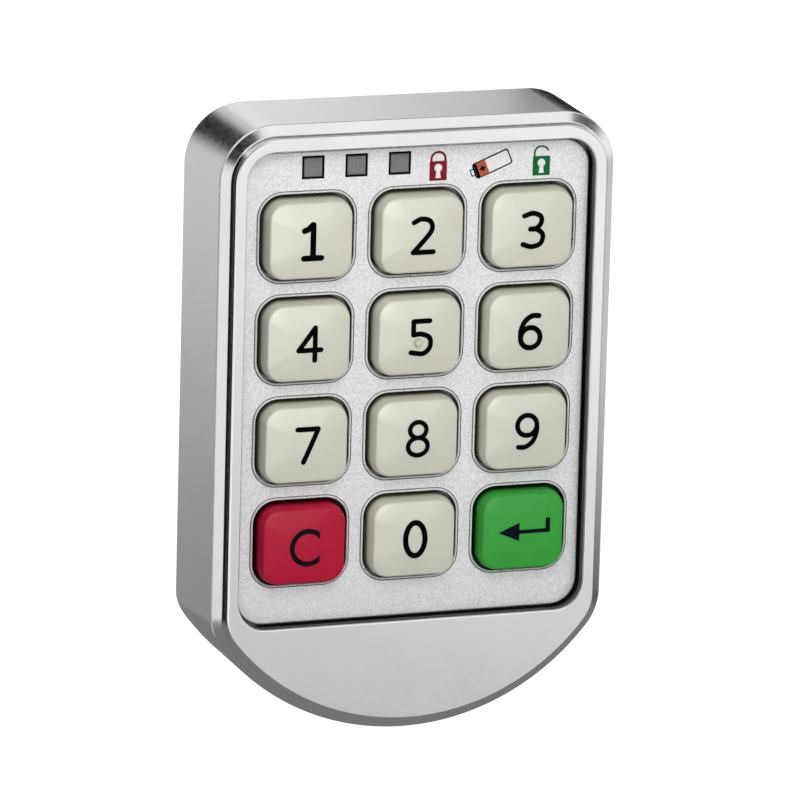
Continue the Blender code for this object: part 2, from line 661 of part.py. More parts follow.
def make_key(name, x, z, look):
    """A hollow cap with a flange that the fascia holds back and a stem over its dome."""
    half_x = KEY_HOLE_WIDTH / 2 - KEY_HOLE_GAP
    half_z = KEY_HOLE_HEIGHT / 2 - KEY_HOLE_GAP
    base_radius = KEY_HOLE_RADIUS - KEY_HOLE_GAP
    reach = KEY_HOLE_GAP + KEY_FLANGE_WIDTH

    def ring(grown, radius, depth):
        return rounded_box(half_x + grown, half_z + grown, radius, x, z, KEY_CORNER_STEPS), depth

    def round_ring(radius, depth):
        return rounded_box(radius, radius, radius, x, z, KEY_CORNER_STEPS), depth

    shoulder = KEY_FRONT - KEY_EDGE_ROUND
    taper = KEY_TAPER * (shoulder - KEY_FLANGE_FRONT) / (KEY_FRONT - KEY_FLANGE_FRONT)
    ceiling = KEY_FRONT - KEY_TOP_WALL
    rings = [
        ring(-KEY_TAPER - KEY_EDGE_ROUND, KEY_TOP_RADIUS - KEY_EDGE_ROUND, KEY_FRONT),
        ring(-taper, KEY_TOP_RADIUS, shoulder),
        ring(0.0, base_radius, KEY_FLANGE_FRONT),
        ring(reach, base_radius + reach, KEY_FLANGE_FRONT),
        ring(reach, base_radius + reach, KEY_REAR),
        ring(-KEY_SIDE_WALL, base_radius - KEY_SIDE_WALL, KEY_REAR),
        ring(-KEY_SIDE_WALL - KEY_TAPER, base_radius - KEY_SIDE_WALL, ceiling),
        round_ring(KEY_STEM_RADIUS, ceiling),
        round_ring(KEY_STEM_RADIUS, STEM_END),
    ]
    loft(name, rings, look, origin=(x, -KEY_REAR, z))


def make_key_mat(look):
    half_x = KEY_PITCH_X + KEY_HOLE_WIDTH / 2
    half_z = KEYPAD_HALF_SPAN + KEY_HOLE_HEIGHT / 2 + MAT_MARGIN
    outline = rounded_box(half_x, half_z, KEY_HOLE_RADIUS, centre_z=KEYPAD_MIDDLE)
    mat = loft("key_mat", prism(outline, MAT_REAR, MAT_FRONT), look)
    domes = []
    for _, x, z in key_places():
        profile = (
            (DOME_BASE_RADIUS, MAT_REAR + MAT_THICKNESS / 2),
            (DOME_BASE_RADIUS, MAT_FRONT),
            (DOME_TOP_RADIUS, DOME_FRONT),
        )
        domes.append(turned(profile, x, z, SMALL_ROUND_STEPS))
    join(mat, lofts("dome_shapes", domes))


def make_circuit_board(look):
    """A notched board with a small light chip under each window."""
    half_x = BOARD_HALF_WIDTH
    top = SPINDLE_TO_TOP - CAVITY_OFFSET - BOARD_TOP_MARGIN
    low = RECESS_BOTTOM + BOARD_BOTTOM_MARGIN
    step_x = half_x - BOARD_NOTCH_WIDTH
    step_z = top - BOARD_NOTCH_HEIGHT
    right = [(half_x, low), (half_x, step_z - BOARD_NOTCH_SLOPE), (step_x, step_z), (step_x, top)]
    outline = right + [(-x, z) for x, z in reversed(right)]
    board = loft("circuit_board", prism(outline, BOARD_REAR, BOARD_FRONT), look)
    lights = []
    for x, z in window_places():
        half = LED_WIDTH / 2
        corners = ((half, half), (-half, half), (-half, -half), (half, -half))
        place = [(x + dx, z + dz) for dx, dz in corners]
        lights.append(prism(place, BOARD_FRONT - BOARD_THICKNESS / 2, BOARD_FRONT + LED_HEIGHT))
    join(board, lofts("light_chip_shapes", lights))
    holes = []
    for x, z in board_screw_places():
        outline = circle(BOARD_SCREW_SHANK_RADIUS + THREAD_GAP, x, z, SMALL_ROUND_STEPS)
        holes.append(prism(outline, BOARD_REAR - OVERRUN, BOARD_FRONT + OVERRUN))
    cut(board, lofts("board_hole_cutter", holes))


def make_window(name, x, z, look):
    """A light pipe: a square lens in the fascia, a flange behind it, a stem to its chip."""

    def square(half, depth):
        corners = ((half, half), (-half, half), (-half, -half), (half, -half))
        return [(x + dx, z + dz) for dx, dz in corners], depth

    half = WINDOW_SIZE / 2
    wide = half + WINDOW_SIDE_GAP + WINDOW_FLANGE_WIDTH
    flange_front = FASCIA_REAR - SEAT_GAP
    flange_rear = flange_front - WINDOW_FLANGE_THICKNESS
    rings = [
        square(half, FASCIA_FRONT),
        square(half, flange_front),
        square(wide, flange_front),
        square(wide, flange_rear),
        square(LED_WIDTH / 2, flange_rear),
        square(LED_WIDTH / 2, BOARD_FRONT + LED_HEIGHT + SEAT_GAP),
    ]
    loft(name, rings, look)


def make_board_parts(looks):
    chip_half = CHIP_SIZE / 2
    chip = rounded_box(chip_half, chip_half, CHIP_HEIGHT / 2, CHIP_X, CHIP_Z, 1)
    surface = BOARD_REAR - THREAD_GAP
    loft("controller_chip", prism(chip, surface - CHIP_HEIGHT, surface), looks["black_plastic"])
    profile = (
        (BUZZER_HOLE_RADIUS, surface - BUZZER_HEIGHT + BUZZER_HOLE_DEPTH),
        (BUZZER_HOLE_RADIUS, surface - BUZZER_HEIGHT),
        (BUZZER_RADIUS, surface - BUZZER_HEIGHT),
        (BUZZER_RADIUS, surface),
    )
    loft("buzzer", turned(profile, BUZZER_X, BUZZER_Z), looks["black_plastic"])
    plug = rounded_box(PLUG_WIDTH / 2, PLUG_LENGTH / 2, WIRE_RADIUS, PLUG_X, PLUG_Z, 1)
    loft("motor_plug", prism(plug, surface - PLUG_HEIGHT, surface), looks["white_plastic"])


def make_screw(name, x, z, sizes, look, flush):
    """A screw whose head faces the rear. A flush head is conical, the other is a low cylinder."""
    head_rear, head_radius, head_height, shank_radius, length = sizes
    if flush:
        profile = (
            (head_radius, head_rear),
            (shank_radius, head_rear + head_radius - shank_radius),
            (shank_radius, head_rear + length),
        )
    else:
        profile = (
            (head_radius, head_rear),
            (head_radius, head_rear + head_height),
            (shank_radius, head_rear + head_height),
            (shank_radius, head_rear + length),
        )
    screw = loft(name, turned(profile, x, z, SMALL_ROUND_STEPS), look)
    recess_front = head_rear + SCREW_RECESS_DEPTH
    slots = cross_recess(x, z, head_rear - OVERRUN, recess_front)
    cut(screw, lofts(name + "_recess_cutter", slots[:1]))
    cut(screw, lofts(name + "_second_recess_cutter", slots[1:]))


def make_screws(look):
    sizes = (
        0.0,
        BODY_SCREW_HEAD_RADIUS,
        0.0,
        BODY_SCREW_SHANK_RADIUS,
        BODY_SCREW_LENGTH,
    )
    for index, (x, z) in enumerate(body_screw_places()):
        make_screw(f"back_plate_screw_{index + 1}", x, z, sizes, look, True)
    sizes = (
        BOARD_REAR - SEAT_GAP - BOARD_SCREW_HEAD_HEIGHT,
        BOARD_SCREW_HEAD_RADIUS,
        BOARD_SCREW_HEAD_HEIGHT,
        BOARD_SCREW_SHANK_RADIUS,
        BOARD_SCREW_LENGTH,
    )
    for index, (x, z) in enumerate(board_screw_places()):
        make_screw(f"board_screw_{index + 1}", x, z, sizes, look, False)
    sizes = (
        0.0,
        BARREL_SCREW_HEAD_RADIUS,
        0.0,
        BARREL_SCREW_SHANK_RADIUS,
        BARREL_SCREW_LENGTH,
    )
    for index, side in enumerate((-1, 1)):
        make_screw(f"barrel_screw_{index + 1}", side * BARREL_SCREW_X, 0.0, sizes, look, True)
    sizes = (
        0.0,
        COVER_SCREW_HEAD_RADIUS,
        0.0,
        COVER_SCREW_SHANK_RADIUS,
        COVER_SCREW_LENGTH,
    )
    make_screw("battery_cover_screw", 0.0, COVER_SCREW_Z, sizes, look, True)


def countersink(x, z, head_radius, shank_radius, end):
    """The space for a flush screw head and its shank in a plate whose rear face is the door plane."""
    profile = (
        (head_radius + THREAD_GAP + OVERRUN, -OVERRUN),
        (shank_radius + THREAD_GAP, head_radius - shank_radius),
        (shank_radius + THREAD_GAP, end),
    )
    return turned(profile, x, z, SMALL_ROUND_STEPS)


def barrel_section(grown):
    """The barrel's round outline with its two flats, moved outwards by grown."""
    radius = BARREL_RADIUS + grown
    flat = BARREL_FLAT_HALF + grown
    turn = math.acos(flat / radius)
    outline = arc(0.0, 0.0, radius, turn, math.pi - turn, ROUND_STEPS // 2)
    outline += arc(0.0, 0.0, radius, math.pi + turn, math.tau - turn, ROUND_STEPS // 2)
    return outline


def make_back_plate(look):
    """A plate that closes the body, with posts for the gear plate and an opening for the cells."""
    outline = body_outline(CAVITY_OFFSET + SEAT_GAP)
    plate = loft("back_plate", prism(outline, 0.0, BACK_PLATE_THICKNESS), look)
    posts = []
    for x, z in post_places():
        profile = (
            (POST_RADIUS, BACK_PLATE_THICKNESS / 2),
            (POST_RADIUS, GEAR_PLATE_REAR - SEAT_GAP),
            (POST_TIP_RADIUS, GEAR_PLATE_REAR - SEAT_GAP),
            (POST_TIP_RADIUS, GEAR_PLATE_FRONT),
        )
        posts.append(turned(profile, x, z, SMALL_ROUND_STEPS))
    join(plate, lofts("post_shapes", posts))
    rebate_front = COVER_LIP_THICKNESS + SEAT_GAP
    pocket_radius = CELL_RADIUS + TRAY_SIDE_GAP
    opening = prism(stadium(pocket_radius), rebate_front / 2, BACK_PLATE_THICKNESS + OVERRUN)
    rebate = prism(stadium(pocket_radius + COVER_LIP), -OVERRUN, rebate_front)
    cut(plate, loft("battery_rebate_cutter", rebate, None))
    cut(plate, loft("battery_opening_cutter", opening, None))
    bore = prism(barrel_section(SEAT_GAP), -OVERRUN, BACK_PLATE_THICKNESS + OVERRUN)
    cut(plate, loft("barrel_hole_cutter", bore, None))
    end = BACK_PLATE_THICKNESS + OVERRUN
    sinks = []
    for x, z in body_screw_places():
        sinks.append(countersink(x, z, BODY_SCREW_HEAD_RADIUS, BODY_SCREW_SHANK_RADIUS, end))
    for side in (-1, 1):
        x = side * BARREL_SCREW_X
        sinks.append(countersink(x, 0.0, BARREL_SCREW_HEAD_RADIUS, BARREL_SCREW_SHANK_RADIUS, end))
    cut(plate, lofts("plate_screw_cutter", sinks))
    pins = []
    for z in (FIRST_GEAR_Z, SECOND_GEAR_Z):
        outline = circle(GEAR_PIN_RADIUS + THREAD_GAP, 0.0, z, SMALL_ROUND_STEPS)
        rear = BACK_PLATE_THICKNESS - GEAR_PIN_SINK - THREAD_GAP
        pins.append(prism(outline, rear, BACK_PLATE_THICKNESS + OVERRUN))
    cut(plate, lofts("pin_hole_cutter", pins))


def make_battery_parts(looks):
    pocket_radius = CELL_RADIUS + TRAY_SIDE_GAP
    tray_outline = stadium(TRAY_RADIUS)
    tray = loft("battery_tray", prism(tray_outline, TRAY_REAR, TRAY_FRONT), looks["black_plastic"])
    hollow = prism(stadium(pocket_radius), TRAY_REAR - OVERRUN, TRAY_FLOOR_REAR)
    cut(tray, loft("tray_pocket_cutter", hollow, None))
    boss = circle(COVER_BOSS_RADIUS, 0.0, COVER_SCREW_Z, SMALL_ROUND_STEPS)
    boss_shape = prism(boss, TRAY_REAR, TRAY_FLOOR_REAR + TRAY_WALL / 2)
    join(tray, loft("cover_boss_shape", boss_shape, None))
    hole_radius = COVER_SCREW_SHANK_RADIUS + THREAD_GAP
    hole = circle(hole_radius, 0.0, COVER_SCREW_Z, SMALL_ROUND_STEPS)
    hole_shape = prism(hole, -OVERRUN, COVER_SCREW_LENGTH + SEAT_GAP)
    cut(tray, loft("cover_screw_hole_cutter", hole_shape, None))

    for side, name in ((-1, "coin_cell_left"), (1, "coin_cell_right")):
        # The cells lie opposite ways round, so that one strip can link them.
        ends = (CELL_FRONT, CELL_REAR) if side < 0 else (CELL_REAR, CELL_FRONT)
        inward = 1 if ends[1] > ends[0] else -1
        profile = (
            (CELL_CAP_RADIUS, ends[0]),
            (CELL_CAP_RADIUS, ends[0] + inward * CELL_CAP_STEP),
            (CELL_RADIUS, ends[0] + inward * (CELL_CAP_STEP + CELL_EDGE_ROUND)),
            (CELL_RADIUS, ends[1] - inward * CELL_EDGE_ROUND),
            (CELL_RADIUS - CELL_EDGE_ROUND, ends[1]),
        )
        loft(name, turned(profile, side * CELL_SPACING / 2, CELL_Z), looks["bright_steel"])

    half = CONTACT_WIDTH / 2
    reach = CELL_SPACING / 2 + CONTACT_REACH / 2
    corners = ((reach, half), (-reach, half), (-reach, -half), (reach, -half))
    link = [(x, CELL_Z + z) for x, z in corners]
    loft("cell_link_strip", prism(link, LINK_REAR, LINK_FRONT), looks["spring_steel"])
    leg_outer = BOARD_HALF_WIDTH
    leg_inner = leg_outer - CONTACT_LEG_THICKNESS
    start = CELL_SPACING / 2 - CONTACT_REACH / 2
    for side, name in ((-1, "contact_strip_left"), (1, "contact_strip_right")):
        bm = bmesh.new()
        section = (
            (start, TOP_CONTACT_REAR),
            (leg_outer, TOP_CONTACT_REAR),
            (leg_outer, BOARD_REAR - SEAT_GAP),
            (leg_inner, BOARD_REAR - SEAT_GAP),
            (leg_inner, TOP_CONTACT_FRONT),
            (start, TOP_CONTACT_FRONT),
        )
        loops = []
        for z in (CELL_Z - half, CELL_Z + half):
            loops.append([bm.verts.new((side * x, -depth, z)) for x, depth in section])
        for loop in loops:
            bm.faces.new(loop)
        for index in range(len(section)):
            near, far = loops
            bm.faces.new((near[index - 1], near[index], far[index], far[index - 1]))
        add_object(name, bm, looks["spring_steel"])

    lip = stadium(pocket_radius + COVER_LIP - SEAT_GAP)
    plug = stadium(pocket_radius - SEAT_GAP)
    rings = [
        (lip, 0.0),
        (lip, COVER_LIP_THICKNESS),
        (plug, COVER_LIP_THICKNESS),
        (plug, COVER_REAR),
    ]
    cover = loft("battery_cover", rings, looks["black_plastic"])
    end = BACK_PLATE_THICKNESS + OVERRUN
    head_radius = COVER_SCREW_HEAD_RADIUS
    sink = countersink(0.0, COVER_SCREW_Z, head_radius, COVER_SCREW_SHANK_RADIUS, end)
    cut(cover, loft("cover_screw_cutter", sink, None))


def gear_outline(teeth, centre_z, tooth_up):
    """Teeth with straight sides. A tooth or a gap faces straight up, as its mate needs."""
    radius = GEAR_MODULE * teeth / 2
    root = radius - GEAR_MODULE * TOOTH_DEDENDUM_SHARE
    tip = radius + GEAR_MODULE * TOOTH_ADDENDUM_SHARE
    pitch = math.tau / teeth
    places = (
        (root, -TOOTH_ROOT_SHARE),
        (tip, -TOOTH_TIP_SHARE),
        (tip, TOOTH_TIP_SHARE),
        (root, TOOTH_ROOT_SHARE),
    )
    first = math.pi / 2 + (0.0 if tooth_up else pitch / 2)
    outline = []
    for tooth in range(teeth):
        for distance, share in places:
            angle = first + pitch * (tooth + share)
            outline.append((distance * math.cos(angle), centre_z + distance * math.sin(angle)))
    return outline


def tooth_down(teeth):
    """Whether a gear with a tooth facing straight down has one facing straight up too."""
    return teeth % 2 == 0


def make_compound_gear(name, z, wheel, pinion, wheel_rear, look):
    """A wheel and the pinion beside it on one hub, driven at its lower side, driving at its upper."""
    wheel_outline = gear_outline(wheel, z, tooth_down(wheel))
    pinion_outline = gear_outline(pinion, z, False)
    pinion_front = wheel_rear + GEAR_LAYER + GEAR_THICKNESS
    wheel_rings = prism(wheel_outline, wheel_rear, wheel_rear + GEAR_THICKNESS)
    gear = loft(name, wheel_rings, look, origin=(0.0, -wheel_rear, z))
    pinion_rings = prism(pinion_outline, wheel_rear + GEAR_THICKNESS / 2, pinion_front)
    join(gear, loft(name + "_pinion_shape", pinion_rings, None))
    bore = circle(GEAR_PIN_RADIUS + RUNNING_GAP, 0.0, z, SMALL_ROUND_STEPS)
    bore_shape = prism(bore, wheel_rear - OVERRUN, pinion_front + OVERRUN)
    cut(gear, loft(name + "_bore_cutter", bore_shape, None))


def make_gear_train(looks):
    nylon = looks["nylon"]
    brass = looks["brass"]
    make_compound_gear(
        "first_gear", FIRST_GEAR_Z, FIRST_WHEEL_TEETH, FIRST_PINION_TEETH, REAR_LAYER, nylon
    )
    make_compound_gear(
        "second_gear", SECOND_GEAR_Z, SECOND_WHEEL_TEETH, SECOND_PINION_TEETH, MIDDLE_LAYER, nylon
    )
    teeth = gear_outline(OUTPUT_TEETH, 0.0, tooth_down(OUTPUT_TEETH))
    rings = prism(teeth, FRONT_LAYER, FRONT_LAYER + GEAR_THICKNESS)
    output = loft("output_gear", rings, brass)
    seat = circle(SPINDLE_SEAT_RADIUS + THREAD_GAP)
    seat_shape = prism(seat, FRONT_LAYER - OVERRUN, FRONT_LAYER + GEAR_THICKNESS + OVERRUN)
    combine(output, loft("output_bore_cutter", seat_shape, None), "DIFFERENCE", "MANIFOLD")

    pinion = gear_outline(MOTOR_TEETH, MOTOR_Z, False)
    pinion_rings = prism(pinion, REAR_LAYER, REAR_LAYER + GEAR_THICKNESS)
    origin = (0.0, -REAR_LAYER, MOTOR_Z)
    motor_pinion = loft("motor_pinion", pinion_rings, brass, origin=origin)
    shaft = circle(MOTOR_SHAFT_RADIUS, 0.0, MOTOR_Z, SMALL_ROUND_STEPS)
    shaft_end = MOTOR_REAR + MOTOR_SHAFT_SINK
    shaft_shape = prism(shaft, REAR_LAYER + GEAR_THICKNESS / 2, shaft_end)
    join(motor_pinion, loft("motor_shaft_shape", shaft_shape, None))

    pin_rear = BACK_PLATE_THICKNESS - GEAR_PIN_SINK
    for index, z in enumerate((FIRST_GEAR_Z, SECOND_GEAR_Z)):
        outline = circle(GEAR_PIN_RADIUS, 0.0, z, SMALL_ROUND_STEPS)
        pin = prism(outline, pin_rear, GEAR_PLATE_FRONT)
        loft(f"gear_pin_{index + 1}", pin, looks["bright_steel"])

    middle = (GEAR_PLATE_TOP + GEAR_PLATE_BOTTOM) / 2
    half_z = (GEAR_PLATE_TOP - GEAR_PLATE_BOTTOM) / 2
    outline = rounded_box(GEAR_PLATE_HALF_WIDTH, half_z, GEAR_PLATE_CORNER, centre_z=middle)
    plate = loft("gear_plate", prism(outline, GEAR_PLATE_REAR, GEAR_PLATE_FRONT), looks["zinc"])
    journal = circle(SPINDLE_JOURNAL_RADIUS + RUNNING_GAP)
    holes = [prism(journal, GEAR_PLATE_REAR, GEAR_PLATE_FRONT)]
    for z in (FIRST_GEAR_Z, SECOND_GEAR_Z):
        outline = circle(GEAR_PIN_RADIUS + THREAD_GAP, 0.0, z, SMALL_ROUND_STEPS)
        holes.append(prism(outline, GEAR_PLATE_REAR, GEAR_PLATE_FRONT))
    for x, z in post_places():
        outline = circle(POST_TIP_RADIUS + THREAD_GAP, x, z, SMALL_ROUND_STEPS)
        holes.append(prism(outline, GEAR_PLATE_REAR, GEAR_PLATE_FRONT))
    through = [[(edge, depth - OVERRUN), (edge, far + OVERRUN)] for (edge, depth), (_, far) in holes]
    cut(plate, lofts("gear_plate_hole_cutter", through))


def make_motor(looks):
    inner = MOTOR_SHAFT_RADIUS + RUNNING_GAP
    bore_end = MOTOR_REAR + MOTOR_SHAFT_SINK + THREAD_GAP
    profile = (
        (inner, bore_end),
        (inner, MOTOR_REAR - MOTOR_COLLAR_HEIGHT),
        (MOTOR_COLLAR_RADIUS, MOTOR_REAR - MOTOR_COLLAR_HEIGHT),
        (MOTOR_COLLAR_RADIUS, MOTOR_REAR),
        (MOTOR_RADIUS - MOTOR_EDGE_ROUND, MOTOR_REAR),
        (MOTOR_RADIUS, MOTOR_REAR + MOTOR_EDGE_ROUND),
        (MOTOR_RADIUS, MOTOR_FRONT - MOTOR_EDGE_ROUND),
        (MOTOR_RADIUS - MOTOR_EDGE_ROUND, MOTOR_FRONT),
    )
    loft("gear_motor", turned(profile, 0.0, MOTOR_Z), looks["bright_steel"])


def make_wire(name, side, look):
    """A lead from the motor's side to the plug, laid in the free space beside the gears."""
    plug_end = BOARD_REAR - THREAD_GAP - PLUG_HEIGHT / 2
    plug_x = PLUG_X + side * PLUG_WIRE_PITCH / 2
    plug_edge = PLUG_Z - PLUG_LENGTH / 2 - SEAT_GAP
    cradle_edge = MOTOR_RADIUS + SEAT_GAP + CRADLE_WALL + SEAT_GAP
    motor_x = -cradle_edge
    motor_z = MOTOR_Z + side * PLUG_WIRE_PITCH / 2
    motor_y = CAVITY_FRONT - CRADLE_HEIGHT - WIRE_RADIUS - SEAT_GAP
    route = [
        Vector((-MOTOR_RADIUS - SEAT_GAP - WIRE_RADIUS, -motor_y, motor_z)),
        Vector((motor_x - PLUG_WIRE_PITCH, -motor_y, motor_z)),
        Vector(((motor_x + plug_x) / 2, -(motor_y + plug_end) / 2, motor_z + PLUG_LENGTH)),
        Vector((plug_x, -plug_end, (motor_z + plug_edge) / 2 + PLUG_LENGTH / 2)),
        Vector((plug_x, -plug_end, plug_edge)),
    ]
    curve = bpy.data.curves.new(name, "CURVE")
    curve.dimensions = "3D"
    curve.bevel_depth = WIRE_RADIUS
    curve.bevel_resolution = 1
    curve.use_fill_caps = True
    points = smooth_route(route)
    spline = curve.splines.new("POLY")
    spline.points.add(len(points) - 1)
    for point, place in zip(spline.points, points):
        point.co = (*place, 1.0)
    made = bpy.data.objects.new(name, curve)
    made.data.materials.append(look)
    bpy.context.collection.objects.link(made)


def smooth_route(route, steps=5):
    """Points along a smooth curve through the route's own points."""
    ends = [route[0] * 2 - route[1]] + route + [route[-1] * 2 - route[-2]]
    points = []
    for index in range(len(route) - 1):
        before, start, end, after = ends[index : index + 4]
        for step in range(steps):
            t = step / steps
            place = start * 2 + (end - before) * t
            place += (before * 2 - start * 5 + end * 4 - after) * t**2
            place += (start * 3 - before - end * 3 + after) * t**3
            points.append(place / 2)
    points.append(route[-1])
    return points


def make_barrel(look):
    """The fixed threaded barrel that passes through the door, with its flange inside the body."""
    barrel = loft("barrel", prism(barrel_section(0.0), -BARREL_REACH, BARREL_FLANGE_FRONT), look)
    flange = prism(circle(BARREL_FLANGE_RADIUS), BARREL_FLANGE_REAR, BARREL_FLANGE_FRONT)
    join(barrel, loft("barrel_flange_shape", flange, None))
    bore_circle = circle(SPINDLE_RADIUS + RUNNING_GAP)
    bore = prism(bore_circle, -BARREL_REACH - OVERRUN, BARREL_FLANGE_FRONT + OVERRUN)
    cut(barrel, loft("barrel_bore_cutter", bore, None))
    holes = []
    for side in (-1, 1):
        x = side * BARREL_SCREW_X
        outline = circle(BARREL_SCREW_SHANK_RADIUS + THREAD_GAP, x, 0.0, SMALL_ROUND_STEPS)
        holes.append(prism(outline, BARREL_FLANGE_REAR - OVERRUN, BARREL_FLANGE_FRONT + OVERRUN))
    cut(barrel, lofts("barrel_screw_cutter", holes))


def make_spindle(look):
    collar_rear = BARREL_FLANGE_FRONT + SEAT_GAP
    collar_front = FRONT_LAYER - THREAD_GAP
    seat_front = GEAR_PLATE_REAR - SEAT_GAP / 2
    profile = (
        (SPINDLE_JOURNAL_RADIUS, GEAR_PLATE_FRONT),
        (SPINDLE_JOURNAL_RADIUS, seat_front),
        (SPINDLE_SEAT_RADIUS, seat_front),
        (SPINDLE_SEAT_RADIUS, collar_front),
        (SPINDLE_COLLAR_RADIUS, collar_front),
        (SPINDLE_COLLAR_RADIUS, collar_rear),
        (SPINDLE_RADIUS, collar_rear),
        (SPINDLE_RADIUS, -SPINDLE_SHOULDER_REACH),
    )
    spindle = loft("spindle", turned(profile), look)
    tip_end = SPINDLE_SHOULDER_REACH + SEAT_GAP + CAM_THICKNESS
    tip = rounded_box(SPINDLE_TIP_HALF, SPINDLE_TIP_HALF, SPINDLE_TIP_CORNER, steps=1)
    tip_shape = prism(tip, -tip_end, -SPINDLE_SHOULDER_REACH + OVERRUN)
    join(spindle, loft("spindle_tip_shape", tip_shape, None))
    hole = circle(SPINDLE_THREAD_RADIUS, steps=SMALL_ROUND_STEPS)
    thread_depth = CAM_SCREW_LENGTH - CAM_SCREW_HEAD_HEIGHT + SPINDLE_THREAD_SPARE
    hole_shape = prism(hole, -tip_end - OVERRUN, -tip_end + thread_depth)
    cut(spindle, loft("spindle_thread_cutter", hole_shape, None))


def make_nut_and_washer(look):
    bore = barrel_section(THREAD_GAP)
    inner = circle(BARREL_RADIUS + THREAD_GAP)
    corner = NUT_ACROSS_FLATS / math.sqrt(3)

    def hexagon(inset):
        """A hexagon with as many points as the bore, so that the two can be skinned together."""
        outline = []
        side_steps = ROUND_STEPS // 6
        for index in range(6):
            start = math.tau * index / 6
            end = math.tau * (index + 1) / 6
            for step in range(side_steps):
                share = step / side_steps
                x = (corner - inset) * (math.cos(start) * (1 - share) + math.cos(end) * share)
                z = (corner - inset) * (math.sin(start) * (1 - share) + math.sin(end) * share)
                outline.append((x, z))
        return outline

    near = -NUT_REACH
    far = -NUT_REACH - NUT_THICKNESS
    rings = [
        (inner, near),
        (hexagon(NUT_CHAMFER), near),
        (hexagon(0.0), near - NUT_CHAMFER / 2),
        (hexagon(0.0), far + NUT_CHAMFER / 2),
        (hexagon(NUT_CHAMFER), far),
        (inner, far),
    ]
    loft("mounting_nut", rings, look, joined=True)
    front = -NUT_REACH + SEAT_GAP + WASHER_THICKNESS
    outline = circle(WASHER_RADIUS)
    washer = loft("mounting_washer", prism(outline, front - WASHER_THICKNESS, front), look)
    hole = prism(bore, front - WASHER_THICKNESS - OVERRUN, front + OVERRUN)
    cut(washer, loft("washer_hole_cutter", hole, None))


def make_cam(look):
    """A flat cam that points along +X when locked."""
    tip_x = CAM_LENGTH - CAM_TIP_RADIUS
    tip_z = CAM_HALF_WIDTH - CAM_TIP_RADIUS
    turn = math.asin(CAM_HALF_WIDTH / CAM_HEAD_RADIUS)
    outline = arc(0.0, 0.0, CAM_HEAD_RADIUS, turn, math.tau - turn, ROUND_STEPS)
    outline += arc(tip_x, -tip_z, CAM_TIP_RADIUS, -math.pi / 2, 0.0, CORNER_STEPS)
    outline += arc(tip_x, tip_z, CAM_TIP_RADIUS, 0.0, math.pi / 2, CORNER_STEPS)
    near = SPINDLE_SHOULDER_REACH + SEAT_GAP
    cam = loft("cam", prism(outline, -near - CAM_THICKNESS, -near), look)
    half = SPINDLE_TIP_HALF + THREAD_GAP
    hole = rounded_box(half, half, SPINDLE_TIP_CORNER, steps=1)
    hole_shape = prism(hole, -near - CAM_THICKNESS - OVERRUN, -near + OVERRUN)
    cut(cam, loft("cam_hole_cutter", hole_shape, None))


def make_cam_screw(look):
    head_front = SPINDLE_SHOULDER_REACH + SEAT_GAP + CAM_THICKNESS + SEAT_GAP
    profile = (
        (CAM_SCREW_SHANK_RADIUS, CAM_SCREW_LENGTH - head_front - CAM_SCREW_HEAD_HEIGHT),
        (CAM_SCREW_SHANK_RADIUS, -head_front),
        (CAM_SCREW_HEAD_RADIUS, -head_front),
        (CAM_SCREW_HEAD_RADIUS, -head_front - CAM_SCREW_HEAD_HEIGHT / 2),
        (CAM_SCREW_HEAD_RADIUS * CAM_SCREW_TOP_SHARE, -head_front - CAM_SCREW_HEAD_HEIGHT),
    )
    screw = loft("cam_screw", turned(profile), look)
    rear = -head_front - CAM_SCREW_HEAD_HEIGHT
    slots = cross_recess(0.0, 0.0, rear - OVERRUN, rear + SCREW_RECESS_DEPTH * 2)
    cut(screw, lofts("cam_screw_recess_cutter", slots[:1]))
    cut(screw, lofts("cam_screw_second_recess_cutter", slots[1:]))


